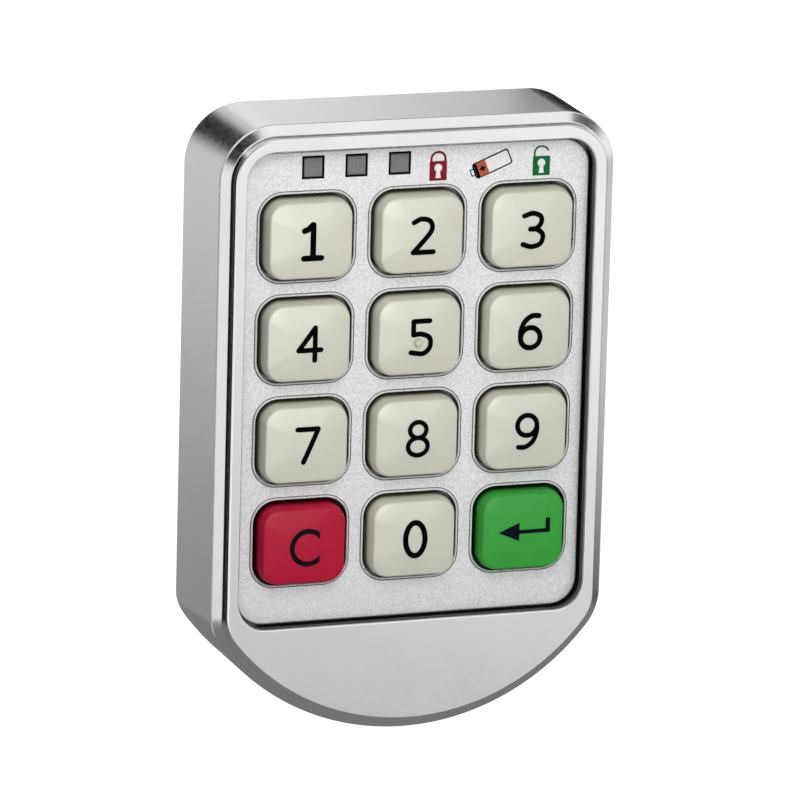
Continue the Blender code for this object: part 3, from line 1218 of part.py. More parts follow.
def main():
    clear_scene()
    looks = {
        "zinc": material("satin_chromed_zinc", (0.72, 0.72, 0.73), 1.0, 0.28),
        "fascia": material("silver_paint", (0.62, 0.62, 0.63), 0.4, 0.45),
        "ivory": material("ivory_keys", (0.80, 0.78, 0.68), 0.0, 0.40),
        "red": material("red_key", (0.45, 0.010, 0.035), 0.0, 0.40),
        "green": material("green_key", (0.030, 0.33, 0.060), 0.0, 0.40),
        "lens": material("smoke_lens", (0.16, 0.16, 0.16), 0.0, 0.25),
        "rubber": material("grey_silicone", (0.30, 0.30, 0.31), 0.0, 0.70),
        "board": material("green_board", (0.02, 0.16, 0.06), 0.0, 0.45),
        "black_plastic": material("black_plastic", (0.02, 0.02, 0.02), 0.0, 0.50),
        "white_plastic": material("white_plastic", (0.80, 0.79, 0.74), 0.0, 0.50),
        "nylon": material("white_nylon", (0.82, 0.80, 0.74), 0.0, 0.45),
        "brass": material("brass", (0.70, 0.50, 0.20), 1.0, 0.30),
        "bright_steel": material("bright_steel", (0.65, 0.65, 0.66), 1.0, 0.25),
        "spring_steel": material("spring_contact", (0.75, 0.70, 0.58), 1.0, 0.30),
        "red_wire": material("red_wire", (0.50, 0.02, 0.02), 0.0, 0.50),
        "black_wire": material("black_wire", (0.02, 0.02, 0.02), 0.0, 0.50),
        "seal": material("black_rubber", (0.02, 0.02, 0.02), 0.0, 0.85),
    }
    make_housing(looks["zinc"])
    make_gasket(looks["seal"])
    make_fascia(looks["fascia"])
    key_looks = {"key_clear": "red", "key_enter": "green"}
    for name, x, z in key_places():
        make_key(name, x, z, looks[key_looks.get(name, "ivory")])
    make_key_mat(looks["rubber"])
    make_circuit_board(looks["board"])
    for index, (x, z) in enumerate(window_places()):
        make_window(f"indicator_window_{index + 1}", x, z, looks["lens"])
    make_board_parts(looks)
    make_back_plate(looks["black_plastic"])
    make_battery_parts(looks)
    make_gear_train(looks)
    make_motor(looks)
    make_wire("motor_wire_red", 1, looks["red_wire"])
    make_wire("motor_wire_black", -1, looks["black_wire"])
    make_barrel(looks["zinc"])
    make_spindle(looks["bright_steel"])
    make_nut_and_washer(looks["bright_steel"])
    make_cam(looks["bright_steel"])
    make_cam_screw(looks["bright_steel"])
    make_screws(looks["bright_steel"])


main()
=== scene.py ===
import math

import bmesh
import bpy
from mathutils import Matrix, Vector
from mathutils.geometry import delaunay_2d_cdt


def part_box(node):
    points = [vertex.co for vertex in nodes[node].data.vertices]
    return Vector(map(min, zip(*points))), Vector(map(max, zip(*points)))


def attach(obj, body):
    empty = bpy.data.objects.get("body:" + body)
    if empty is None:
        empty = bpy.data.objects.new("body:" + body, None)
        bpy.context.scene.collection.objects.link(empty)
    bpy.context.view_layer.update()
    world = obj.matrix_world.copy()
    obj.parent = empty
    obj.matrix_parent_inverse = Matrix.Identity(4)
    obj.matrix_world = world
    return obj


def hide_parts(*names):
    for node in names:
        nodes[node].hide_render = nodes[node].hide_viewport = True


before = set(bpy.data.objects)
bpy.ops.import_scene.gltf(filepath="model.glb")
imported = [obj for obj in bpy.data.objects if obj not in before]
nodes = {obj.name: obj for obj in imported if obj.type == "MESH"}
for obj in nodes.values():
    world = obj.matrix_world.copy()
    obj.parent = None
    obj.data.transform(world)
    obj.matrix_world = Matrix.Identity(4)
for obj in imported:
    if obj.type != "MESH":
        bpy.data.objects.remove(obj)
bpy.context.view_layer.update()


# Camera: a long lens a metre away, to the left of the lock and a little above it, turned by
# a degree and a half as a hand-held product shot is.
CAMERA_AIM = Vector((-0.00266, -0.0165, 0.00434))
CAMERA_DISTANCE = 1.047
CAMERA_YAW = math.radians(20.27)
CAMERA_PITCH = math.radians(13.85)
CAMERA_ROLL = math.radians(1.54)
LENS_LENGTH = 332.96
SENSOR_WIDTH = 36.0

look_along = Vector(
    (
        math.sin(CAMERA_YAW) * math.cos(CAMERA_PITCH),
        math.cos(CAMERA_YAW) * math.cos(CAMERA_PITCH),
        -math.sin(CAMERA_PITCH),
    )
)
level_side = Vector((math.cos(CAMERA_YAW), -math.sin(CAMERA_YAW), 0.0))
level_rise = level_side.cross(look_along)
camera_side = level_side * math.cos(CAMERA_ROLL) + level_rise * math.sin(CAMERA_ROLL)
camera_rise = level_rise * math.cos(CAMERA_ROLL) - level_side * math.sin(CAMERA_ROLL)
camera = bpy.data.objects.new("camera", bpy.data.cameras.new("camera"))
camera.data.lens = LENS_LENGTH
camera.data.sensor_width = SENSOR_WIDTH
camera.data.clip_start = 0.01
camera.data.clip_end = 100.0
turn = Matrix((camera_side, camera_rise, -look_along)).transposed().to_4x4()
camera.matrix_world = Matrix.Translation(CAMERA_AIM - look_along * CAMERA_DISTANCE) @ turn
bpy.context.scene.collection.objects.link(camera)
bpy.context.scene.camera = camera
bpy.context.scene.view_settings.view_transform = "Standard"


# Studio: a white sweep under the lock, soft lamps above it, and pale and dark cards that only
# reflections see, as a photographer of bright metal sets them up.
FLOOR_HEIGHT = -0.085
FLOOR_HALF = 3.0
FLOOR_COLOUR = 0.80
FLOOR_MOTTLE = 1.02
FLOOR_GLOW = 0.60
BACKGROUND_FILL = 0.36
LOCK_MIDDLE = (0.0, 0.0, 0.0)


def add_node(tree, kind, inputs=None, **settings):
    """Adds a shader node. Each input takes a value, or the output that feeds it."""
    made = tree.nodes.new("ShaderNode" + kind)
    for name, value in settings.items():
        setattr(made, name, value)
    for title, value in (inputs or {}).items():
        if isinstance(value, bpy.types.NodeSocket):
            tree.links.new(value, made.inputs[title])
        else:
            made.inputs[title].default_value = value
    return made


def combined(tree, operation, first, second):
    """The result of a sum of two values."""
    return add_node(tree, "Math", {0: first, 1: second}, operation=operation).outputs[0]


def remapped(tree, value, start, end, low=0.0, high=1.0, smooth=False):
    """A value carried over from the range start to end to the range low to high."""
    limits = {"Value": value, "From Min": start, "From Max": end, "To Min": low, "To Max": high}
    kind = "SMOOTHSTEP" if smooth else "LINEAR"
    return add_node(tree, "MapRange", limits, interpolation_type=kind).outputs["Result"]


def new_material(name):
    material = bpy.data.materials.new(name)
    material.use_nodes = True
    material.node_tree.nodes.clear()
    return material, material.node_tree


def add_sheet(name, corners, material):
    """Links a mesh of one face with four corners as an object."""
    mesh = bpy.data.meshes.new(name)
    mesh.from_pydata(corners, [], [(0, 1, 2, 3)])
    mesh.materials.append(material)
    made = bpy.data.objects.new(name, mesh)
    bpy.context.scene.collection.objects.link(made)
    return made


def seen_directly(tree):
    """1 for camera, glossy and transmission rays, which see the white of the studio."""
    path = add_node(tree, "LightPath")
    total = path.outputs["Is Camera Ray"]
    for name in ("Is Glossy Ray", "Is Transmission Ray"):
        total = combined(tree, "MAXIMUM", total, path.outputs[name])
    return total


world = bpy.data.worlds.new("studio_air")
bpy.context.scene.world = world
world.use_nodes = True
tree = world.node_tree
tree.nodes.clear()
strength = remapped(tree, seen_directly(tree), 0.0, 1.0, BACKGROUND_FILL, 1.0)
air = add_node(tree, "Background", {"Color": (1.0, 1.0, 1.0, 1.0), "Strength": strength})
add_node(tree, "OutputWorld", {"Surface": air.outputs[0]})

paper, tree = new_material("studio_paper")
mottle = add_node(tree, "TexNoise", {"Scale": 3.0}).outputs["Fac"]
tone = remapped(tree, mottle, 0.0, 1.0, FLOOR_COLOUR, FLOOR_COLOUR * FLOOR_MOTTLE)
matt = add_node(tree, "BsdfDiffuse", {"Color": tone})
glow_level = combined(tree, "MULTIPLY", seen_directly(tree), FLOOR_GLOW)
glow = add_node(tree, "Emission", {"Strength": glow_level})
both = add_node(tree, "AddShader", {0: matt.outputs[0], 1: glow.outputs[0]})
add_node(tree, "OutputMaterial", {"Surface": both.outputs[0]})

corner_signs = ((-1, -1), (1, -1), (1, 1), (-1, 1))
floor_corners = [(x * FLOOR_HALF, y * FLOOR_HALF, FLOOR_HEIGHT) for x, y in corner_signs]
floor = add_sheet("studio_floor", floor_corners, paper)


def add_lamp(name, place, size, watts, aim=LOCK_MIDDLE):
    """A soft square lamp that points at the lock and isn't seen in its metal."""
    lamp = bpy.data.lights.new(name, "AREA")
    lamp.size = size
    lamp.energy = watts
    made = bpy.data.objects.new(name, lamp)
    made.location = place
    made.rotation_mode = "QUATERNION"
    made.rotation_quaternion = (Vector(place) - Vector(aim)).to_track_quat("Z", "Y")
    made.visible_glossy = False
    made.visible_camera = False
    bpy.context.scene.collection.objects.link(made)
    return made


add_lamp("lamp_above_front", (-0.04, -0.20, 0.20), 0.14, 0.34, aim=(0.0, 0.0, 0.01))
add_lamp("lamp_left", (-0.55, -0.45, 0.25), 0.40, 0.2)
add_lamp("lamp_right", (0.45, -0.70, -0.05), 0.35, 2.5)
add_lamp("lamp_behind", (0.25, 0.60, 0.45), 0.50, 1.6)
# This one is seen as a sheen in the keys alone, and their domed faces fall off from it.
lamp_sheen = add_lamp("lamp_sheen", (0.125, -0.886, -0.060), 0.15, 2.5)
lamp_sheen.visible_glossy = True
lamp_sheen.visible_diffuse = False
glossy_keys = bpy.data.collections.new("glossy_keys")
lamp_sheen.light_linking.receiver_collection = glossy_keys


def add_card(name, centre, right, up, levels, round_edge=0.3, blend=(0.0, 1.0)):
    """A card that reflections see: its tone runs from levels[0] to levels[1] along up, and it
    fades out towards its edges over round_edge of its half size."""
    card, tree = new_material(name + "_tone")
    spot = add_node(tree, "SeparateXYZ", {0: add_node(tree, "UVMap").outputs["UV"]})
    tone = remapped(tree, spot.outputs["Y"], *blend, *levels, smooth=True)
    glow = add_node(tree, "Emission", {"Strength": tone})
    fades = []
    for axis in ("X", "Y"):
        from_edge = combined(tree, "PINGPONG", spot.outputs[axis], 0.5)
        fades.append(remapped(tree, from_edge, 0.0, round_edge / 2, smooth=True))
    cover = combined(tree, "MULTIPLY", *fades)
    clear = add_node(tree, "BsdfTransparent")
    mix = add_node(tree, "MixShader", {0: cover, 1: clear.outputs[0], 2: glow.outputs[0]})
    add_node(tree, "OutputMaterial", {"Surface": mix.outputs[0]})
    centre, right, up = Vector(centre), Vector(right), Vector(up)
    made = add_sheet(name, [centre + right * x + up * y for x, y in corner_signs], card)
    layer = made.data.uv_layers.new(name="card")
    for corner, (x, y) in zip(layer.data, corner_signs):
        corner.uv = ((x + 1) / 2, (y + 1) / 2)
    for ray in ("camera", "diffuse", "shadow", "transmission", "volume_scatter"):
        setattr(made, "visible_" + ray, False)


# Each card has its centre and its half sizes across and up, then its tones at the bottom and
# top, its soft edge, and the part of its height over which its tone changes.
CARDS = (
    # Behind the lock, seen by its side wall, its top wall and the corners between them.
    (
        "back_left",
        (-0.17, 0.12, 0.058), (0.16, 0, 0), (0, 0, 0.142),
        (0.3, 0.62), 0.02, (0.06, 0.36),
    ),
    ("back_top", (0.13, 0.1205, 0.16), (0, 0, 0.1), (0.15, 0, 0), (0.84, 0.46), 0.02, (0.1, 0.36)),
    (
        "back_corner",
        (-0.062, 0.119, 0.092), (0.042, 0, 0.013), (-0.013, 0, 0.043),
        (0.01, 0.01), 0.66,
    ),
    ("back_right", (0.108, 0.119, 0.034), (0.044, 0, 0), (0, 0, 0.051), (0.005, 0.005), 0.15),
    ("back_low", (0.025, 0.1195, -0.045), (0.045, 0, 0), (0, 0, 0.045), (0.20, 0.20), 0.1),
    # Above it, seen as a fine line by the hollow and by the rounded edge along its top.
    ("above", (0.060, 0.030, 0.20), (0.25, 0, 0), (0, 0.044, 0), (0.08, 0.08), 0.3),
    # In front of it, seen by its rim, its shoulder and its lower face.
    ("front", (0.09, -0.12, 0.0), (0.1, 0, -0.045), (0, 0, 0.115), (0.66, 1.0), 0.02, (0.04, 0.5)),
    ("front_left", (-0.12, -0.15, 0.0), (0, 0.065, 0), (0, 0, 0.085), (0.86, 0.95), 0.3),
    (
        "front_corner",
        (-0.078, -0.128, 0.106), (0.066, 0.006, 0.061), (0.03, -0.03, -0.029),
        (0.005, 0.005), 0.55,
    ),
    # At its sides and under it, seen by the hollow and the shoulder round its face.
    ("left", (-0.12, 0.0, 0.03), (0, 0.075, 0), (0, 0, 0.112), (0.005, 0.005), 0.22),
    ("right", (0.15, -0.05, -0.03), (0, 0.1, 0), (0, 0, 0.055), (0.1, 0.62), 0.05, (0.15, 0.6)),
    (
        "right_corner",
        (0.149, -0.115, 0.135), (0, -0.07, 0.084), (0, 0.034, 0.028),
        (0.05, 0.05), 0.6,
    ),
    ("right_back", (0.149, 0.06, -0.01), (0, 0.050, 0), (0, 0, 0.075), (0.10, 0.10), 0.2),
    ("below", (0.0, 0.06, -0.083), (0.20, 0, 0), (0, 0.21, 0), (0.20, 0.20), 0.1),
)
for name, *card_shape in CARDS:
    add_card("card_" + name, *card_shape)


# Finishes: each material below takes its mottling, its fine surface, its paler edges and the
# painted shade in its hollows from these four effects, with its own sizes and amounts. The paler
# edges are rubbed wear, and on the keys a painted highlight as well.
GREY = (0.5, 0.5, 0.5, 1.0)
CLOUD_RANGE = (0.35, 0.65)
GRAIN_RANGE = (0.3, 0.7)
EDGE_RANGE = (0.98, 0.75)
DEEPEST_HOLLOW = 0.25
# The sockets of a Mix node that mixes colours share their names with others.
MIX_FIRST = 6
MIX_SECOND = 7
MIX_RESULT = 2


def new_group(name, inputs, outputs):
    """A shared effect, from its inputs with the values they start at and its outputs."""
    group = bpy.data.node_groups.new(name, "ShaderNodeTree")
    for direction, sockets in (("INPUT", inputs), ("OUTPUT", outputs)):
        for title, value in sockets.items():
            kind = "NodeSocketColor" if isinstance(value, tuple) else "NodeSocketFloat"
            made = group.interface.new_socket(name=title, in_out=direction, socket_type=kind)
            if direction == "INPUT":
                made.default_value = value
    entry = group.nodes.new("NodeGroupInput").outputs
    return group, entry, group.nodes.new("NodeGroupOutput").inputs


def noise_at(tree, place, size, detail):
    scale = combined(tree, "DIVIDE", 1.0, size)
    inputs = {"Vector": place, "Scale": scale, "Detail": detail}
    return add_node(tree, "TexNoise", inputs).outputs["Fac"]


def mixed(tree, share, first, second):
    """A colour between two others."""
    inputs = {"Factor": share, MIX_FIRST: first, MIX_SECOND: second}
    return add_node(tree, "Mix", inputs, data_type="RGBA").outputs[MIX_RESULT]


mottling, entry, result = new_group(
    "mottling", {"Size": 0.002, "Main": GREY, "Other": GREY, "Amount": 0.5}, {"Color": GREY}
)
place = add_node(mottling, "TexCoord").outputs["Object"]
spread = remapped(mottling, noise_at(mottling, place, entry["Size"], 4.0), *CLOUD_RANGE)
share = combined(mottling, "MULTIPLY", spread, entry["Amount"])
mottling.links.new(mixed(mottling, share, entry["Main"], entry["Other"]), result["Color"])

fine_surface, entry, result = new_group(
    "fine_surface",
    {"Size": 0.0005, "Smoothest": 0.3, "Roughest": 0.4, "Stretch": 1.0},
    {"Roughness": 0.0, "Height": 0.0},
)
place = add_node(fine_surface, "TexCoord").outputs["Object"]
pull = add_node(fine_surface, "CombineXYZ", {"X": 1.0, "Y": 1.0, "Z": entry["Stretch"]}).outputs[0]
drawn = add_node(fine_surface, "VectorMath", {0: place, 1: pull}, operation="MULTIPLY").outputs[0]
height = noise_at(fine_surface, drawn, entry["Size"], 3.0)
level = remapped(fine_surface, height, *GRAIN_RANGE, entry["Smoothest"], entry["Roughest"])
fine_surface.links.new(level, result["Roughness"])
fine_surface.links.new(height, result["Height"])

# Paler edges: rubbed wear, and on the keys a painted highlight along their rounded edges.
worn_and_highlit_edges, entry, result = new_group(
    "worn_and_highlit_edges", {"Width": 0.0003, "Amount": 0.5}, {"Mask": 0.0}
)
rounded = add_node(worn_and_highlit_edges, "Bevel", {"Radius": entry["Width"]}, samples=4).outputs["Normal"]
flat = add_node(worn_and_highlit_edges, "NewGeometry").outputs["Normal"]
agree = add_node(worn_and_highlit_edges, "VectorMath", {0: rounded, 1: flat}, operation="DOT_PRODUCT")
edge_paleness = remapped(worn_and_highlit_edges, agree.outputs["Value"], *EDGE_RANGE, 0.0, entry["Amount"])
worn_and_highlit_edges.links.new(edge_paleness, result["Mask"])

# Painted shade: darkens hollows, creases and the gaps between parts, found by ambient occlusion,
# where shade falls.
painted_hollow_shade, entry, result = new_group(
    "painted_hollow_shade", {"Reach": 0.001, "Amount": 0.5, "Start": 0.8}, {"Mask": 0.0}
)
sky = add_node(painted_hollow_shade, "AmbientOcclusion", {"Distance": entry["Reach"]}, samples=6)
limits = (entry["Start"], DEEPEST_HOLLOW, 0.0, entry["Amount"])
hollow_shade_mask = remapped(painted_hollow_shade, sky.outputs["AO"], *limits, smooth=True)
painted_hollow_shade.links.new(hollow_shade_mask, result["Mask"])


def finish(
    name,
    main,
    other,
    metal,
    rough,
    cloud_size=0.004,
    clouds=0.6,
    grain_size=0.0003,
    stretch=1.0,
    bump=0.1,
    bump_height=0.00002,
    edge_width=0.00015,
    edge_amount=0.5,
    edge_colour=None,
    hollow_shade=0.5,
    hollow_shade_reach=0.0008,
    hollow_shade_start=0.8,
    hollow_shade_colour=(0.01, 0.01, 0.01),
    sockets=None,
):
    """A material from the four effects; the last paints shade into its hollows. Lengths are in
    metres, and rough is its two limits.
    """
    material, tree = new_material(name)

    def effect(group, **inputs):
        return add_node(tree, "Group", inputs, node_tree=group).outputs

    colours = {"Main": (*main, 1.0), "Other": (*other, 1.0)}
    cloudy = effect(mottling, Size=cloud_size, Amount=clouds, **colours)
    limits = {"Smoothest": rough[0], "Roughest": rough[1]}
    grain = effect(fine_surface, Size=grain_size, Stretch=stretch, **limits)
    edges = effect(worn_and_highlit_edges, Width=edge_width, Amount=edge_amount)
    hollow_shading = effect(painted_hollow_shade, Reach=hollow_shade_reach, Amount=hollow_shade, Start=hollow_shade_start)
    # Paler edges over the mottled colour, then painted shade in the hollows over both.
    colour = mixed(tree, edges["Mask"], cloudy["Color"], (*(edge_colour or other), 1.0))
    colour = mixed(tree, hollow_shading["Mask"], colour, (*hollow_shade_colour, 1.0))
    relief = {"Strength": bump, "Distance": bump_height, "Height": grain["Height"]}
    skin = {
        "Base Color": colour,
        "Metallic": metal,
        "Roughness": grain["Roughness"],
        "Normal": add_node(tree, "Bump", relief).outputs["Normal"],
        **(sockets or {}),
    }
    surface = add_node(tree, "BsdfPrincipled", skin).outputs[0]
    add_node(tree, "OutputMaterial", {"Surface": surface})
    return material


# Housing: one zinc die casting with satin chrome plating. A rounded edge, a sloping shoulder and a
# small hollow run round its rim, and the recess for the keypad has a dark polished wall whose
# darkness also paints its shade. A paler, rougher band along the outer edge is a painted highlight.
HALF_WIDTH = 0.0300
BODY_TOP = 0.0450
BODY_BOTTOM = -0.0450
TOP_CORNER_RADIUS = 0.0085
LOW_CORNER_RADIUS = 0.0085
BOTTOM_RADIUS = 0.0360
LOW_CUT = 0.00065
LOW_CUT_FADE = 0.5
BODY_FRONT = 0.0165
WALL_DRAFT = 0.00045
WALL_FRONT = 0.01415
OUTER_EDGE = 0.00035
# The painted highlight on the outer edge runs between these heights, apart from the upper right
# corner beyond this point.
HIGHLIGHT_TOP = 0.0441
HIGHLIGHT_BOTTOM = -0.029
UNHIGHLIT_CORNER = (0.019, 0.036)
SHOULDER_TILT = math.radians(30.0)
SHOULDER_END = 0.00175
HOLLOW_RADIUS = 0.0006
RIM_EDGE = 0.00045
RECESS_HALF_WIDTH = 0.0261
RECESS_HALF_HEIGHT = 0.03455
RECESS_MIDDLE = 0.00635
RECESS_CORNER = 0.0042
RECESS_EDGE = 0.00025
BEAD_DEPTH = 0.0154
BEAD_SIZE = 0.00014
BEAD_START = 0.3
SHELF_FRONT = 0.01305
SHELF_REAR = 0.01185
SHELF_WIDTH = 0.0007
CAVITY_INSET = 0.00245
LOW_CAVITY_TOP = -0.0296
LOW_CAVITY_FRONT = 0.0147
GROOVE_START = 0.0008
GROOVE_END = 0.0020
GROOVE_DEPTH = 0.0009
TOP_CORNER_STEPS = 18
LOW_CORNER_STEPS = 12
BOTTOM_STEPS = 110
BOSS_PLACES = ((0.0234, 0.0389), (-0.0234, 0.0389), (0.0215, -0.0315), (-0.0215, -0.0315))
# The bosses and the motor's cradle: their radius, bore, rear end and front end.
BOSS = (0.0021, 0.00125, 0.00175, SHELF_REAR + 0.0006)
CRADLE_HEIGHT = -0.0360
CRADLE = (0.00735, 0.00625, 0.0092, LOW_CAVITY_FRONT + 0.0001)
CRADLE_STEPS = 64
# Which of the housing's three finishes a face has: plated, the dark wall with painted shade, and
# the outer edge's painted highlight.
PLATED, DARK_SHADE, HIGHLIT = 0, 1, 2

# The hollow round the rim takes a dark line of painted shade.
chrome = finish(
    "satin_chrome", (0.86, 0.86, 0.86), (0.80, 0.80, 0.805), 1.0, (0.15, 0.22), cloud_size=0.012,
    grain_size=0.0008, bump=0.012, edge_colour=(0.97, 0.97, 0.97), edge_amount=0.6, hollow_shade=0.85,
    hollow_shade_reach=0.0007, hollow_shade_start=0.94, hollow_shade_colour=(0.02, 0.02, 0.02),
)
# A paler, rougher finish laid on the outer edge as a painted highlight.
chrome_edge_highlight = finish(
    "chrome_edge_painted_highlight", (0.93, 0.93, 0.93), (0.88, 0.88, 0.89), 0.6, (0.42, 0.52),
    cloud_size=0.006, grain_size=0.0006, bump=0.05, edge_colour=(0.97, 0.97, 0.97),
)
# A dark glossy finish for the recess wall, which also stands in for the shade there and in the gaps
# round the keys.
dark_wall_and_shade = finish(
    "dark_wall_painted_shade", (0.012, 0.012, 0.013), (0.03, 0.03, 0.03), 0.0, (0.08, 0.16),
    cloud_size=0.006, bump=0.03, edge_colour=(0.25, 0.25, 0.26), edge_amount=0.4,
    sockets={"Coat Weight": 0.5, "Coat Roughness": 0.05},
)


def arc(centre_x, centre_z, radius, start, end, steps):
    """Points along an arc seen from the front, angles from +X towards +Z."""
    angles = [start + (end - start) * step / steps for step in range(steps + 1)]
    return [(centre_x + radius * math.cos(a), centre_z + radius * math.sin(a)) for a in angles]


def circle(radius, centre_x=0.0, centre_z=0.0, steps=48):
    return arc(centre_x, centre_z, radius, 0.0, math.tau * (steps - 1) / steps, steps - 1)


def round_box(half_x, half_z, radius, centre_x=0.0, centre_z=0.0, steps=10):
    """A rectangle with round corners, anticlockwise from the upper end of its right side."""
    outline = []
    for index, (side_x, side_z) in enumerate(((1, 1), (-1, 1), (-1, -1), (1, -1))):
        corner_x = centre_x + side_x * (half_x - radius)
        corner_z = centre_z + side_z * (half_z - radius)
        start = index * math.pi / 2
        outline += arc(corner_x, corner_z, radius, start, start + math.pi / 2, steps)
    return outline


def eased(share):
    """A share from 0 to 1 that starts and ends gently."""
    return share * share * (3 - 2 * share)


def body_line(inset, low_cut=0.0):
    """The body's outline moved inwards: round top corners, straight sides, one big lower arc. The
    low corners and the arc can be cut back further, apart from the arc's middle."""
    top_x = HALF_WIDTH - TOP_CORNER_RADIUS
    top_z = BODY_TOP - TOP_CORNER_RADIUS
    arc_z = BODY_BOTTOM + BOTTOM_RADIUS
    side_x = HALF_WIDTH - LOW_CORNER_RADIUS
    drop = math.sqrt((BOTTOM_RADIUS - LOW_CORNER_RADIUS) ** 2 - side_x**2)
    turn = math.atan2(drop, side_x)
    top = TOP_CORNER_RADIUS - inset
    corner = []
    for step in range(LOW_CORNER_STEPS + 1):
        share = step / LOW_CORNER_STEPS
        radius = LOW_CORNER_RADIUS - inset - low_cut * eased(share)
        corner.append((side_x + radius * math.cos(turn * share), radius * math.sin(turn * share)))
    outline = arc(top_x, top_z, top, 0.0, math.pi / 2, TOP_CORNER_STEPS)
    outline += arc(-top_x, top_z, top, math.pi / 2, math.pi, TOP_CORNER_STEPS)
    outline += [(-x, arc_z - drop - z) for x, z in corner[:-1]]
    for step in range(BOTTOM_STEPS + 1):
        angle = math.pi + turn + (math.pi - 2 * turn) * step / BOTTOM_STEPS
        share = min(1.0, abs(math.cos(angle) / math.cos(turn)) / LOW_CUT_FADE)
        radius = BOTTOM_RADIUS - inset - low_cut * eased(share)
        outline.append((radius * math.cos(angle), arc_z + radius * math.sin(angle)))
    return outline + [(x, arc_z - drop - z) for x, z in corner[-2::-1]]


def recess_line(grown):
    half_x = RECESS_HALF_WIDTH + grown
    half_z = RECESS_HALF_HEIGHT + grown
    return round_box(half_x, half_z, RECESS_CORNER + grown, 0.0, RECESS_MIDDLE, 16)


def with_cut(outline, height):
    """The outline with a point added wherever it crosses the height."""
    made = []
    for index, (x, z) in enumerate(outline):
        last_x, last_z = outline[index - 1]
        if (z < height) != (last_z < height):
            share = (height - last_z) / (z - last_z)
            made.append((last_x + share * (x - last_x), height))
        made.append((x, z))
    return made


def inside(x, z, outline):
    found = False
    for index, (a, b) in enumerate(outline):
        c, d = outline[index - 1]
        if (b > z) != (d > z) and x < a + (z - b) * (c - a) / (d - b):
            found = not found
    return found


def add_skin(bm, rings, closed=False, look=0):
    """Joins rings of (outline, depth) with equal point counts by faces."""
    loops = [[bm.verts.new((x, -depth, z)) for x, z in line] for line, depth in rings]
    pairs = list(zip(loops, loops[1:]))
    if closed:
        pairs.append((loops[-1], loops[0]))
    for near, far in pairs:
        for index in range(len(near)):
            corners = (near[index - 1], near[index], far[index], far[index - 1])
            bm.faces.new(corners).material_index = look


def add_flat(bm, depth, outer, holes=(), look=0):
    """A flat face at one depth with holes in it, in triangles between its outlines' own points."""
    points, edges = [], []
    for line in (outer, *holes):
        first = len(points)
        points += [Vector(point) for point in line]
        count = len(line)
        edges += [(first + step, first + (step + 1) % count) for step in range(count)]
    places, _, faces, _, _, _ = delaunay_2d_cdt(points, edges, [], 0, 1e-8)
    corners = [bm.verts.new((place.x, -depth, place.y)) for place in places]
    for face in faces:
        x = sum(places[index].x for index in face) / len(face)
        z = sum(places[index].y for index in face) / len(face)
        if inside(x, z, outer) and not any(inside(x, z, hole) for hole in holes):
            bm.faces.new([corners[index] for index in face]).material_index = look


def add_tube(bm, x, z, radius, bore, rear, front, steps=24):
    """A round boss with a hole along it."""
    outer, inner = circle(radius, x, z, steps), circle(bore, x, z, steps)
    add_skin(bm, [(outer, rear), (outer, front), (inner, front), (inner, rear)], closed=True)


def shell_piece(name, bm, materials, body, stands_for=(), sharp=32.0):
    """Welds the mesh, turns its faces outwards, smooths it and hands it to its body."""
    bmesh.ops.remove_doubles(bm, verts=bm.verts, dist=1e-7)
    loose = [vertex for vertex in bm.verts if not vertex.link_faces]
    bmesh.ops.delete(bm, geom=loose, context="VERTS")
    bmesh.ops.recalc_face_normals(bm, faces=bm.faces)
    mesh = bpy.data.meshes.new(name)
    bm.to_mesh(mesh)
    bm.free()
    mesh.shade_smooth()
    mesh.set_sharp_from_angle(angle=math.radians(sharp))
    for material in materials:
        mesh.materials.append(material)
    made = bpy.data.objects.new(name, mesh)
    bpy.context.scene.collection.objects.link(made)
    weighted = made.modifiers.new("even_shading", "WEIGHTED_NORMAL")
    weighted.keep_sharp = True
    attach(made, body)
    if stands_for:
        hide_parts(*stands_for)
    return made


def lean(start, end, steps):
    """Sine and cosine of a surface's lean from facing forwards, for part of a round."""
    leans = [start + (end - start) * step / steps for step in range(steps + 1)]
    return [(math.sin(a), math.cos(a)) for a in leans]


def quarter(steps):
    """Sine and cosine pairs from 0 to 90 degrees, for a rounded edge."""
    return lean(0.0, math.pi / 2, steps)


upright = math.pi / 2
edge_inset = WALL_DRAFT + OUTER_EDGE
outer_edge = [
    (edge_inset - OUTER_EDGE * s, WALL_FRONT + OUTER_EDGE * c)
    for s, c in lean(upright, SHOULDER_TILT, 6)
]
shoulder_run = SHOULDER_END - outer_edge[-1][0]
shoulder_depth = outer_edge[-1][1] + shoulder_run * math.tan(SHOULDER_TILT)
hollow_inset = SHOULDER_END - HOLLOW_RADIUS * math.sin(SHOULDER_TILT)
hollow_depth = shoulder_depth + HOLLOW_RADIUS * math.cos(SHOULDER_TILT)
hollow = [
    (hollow_inset + HOLLOW_RADIUS * s, hollow_depth - HOLLOW_RADIUS * c)
    for s, c in lean(SHOULDER_TILT, upright, 8)
]
rim_start = hollow[-1][0]
rim_edge = [
    (rim_start + RIM_EDGE * (1 - s), BODY_FRONT - RIM_EDGE * (1 - c))
    for s, c in lean(upright, 0.0, 7)
]
bm = bmesh.new()
rear_line = body_line(0.0, LOW_CUT)
add_skin(bm, [(rear_line, 0.0), (body_line(outer_edge[0][0]), outer_edge[0][1])])
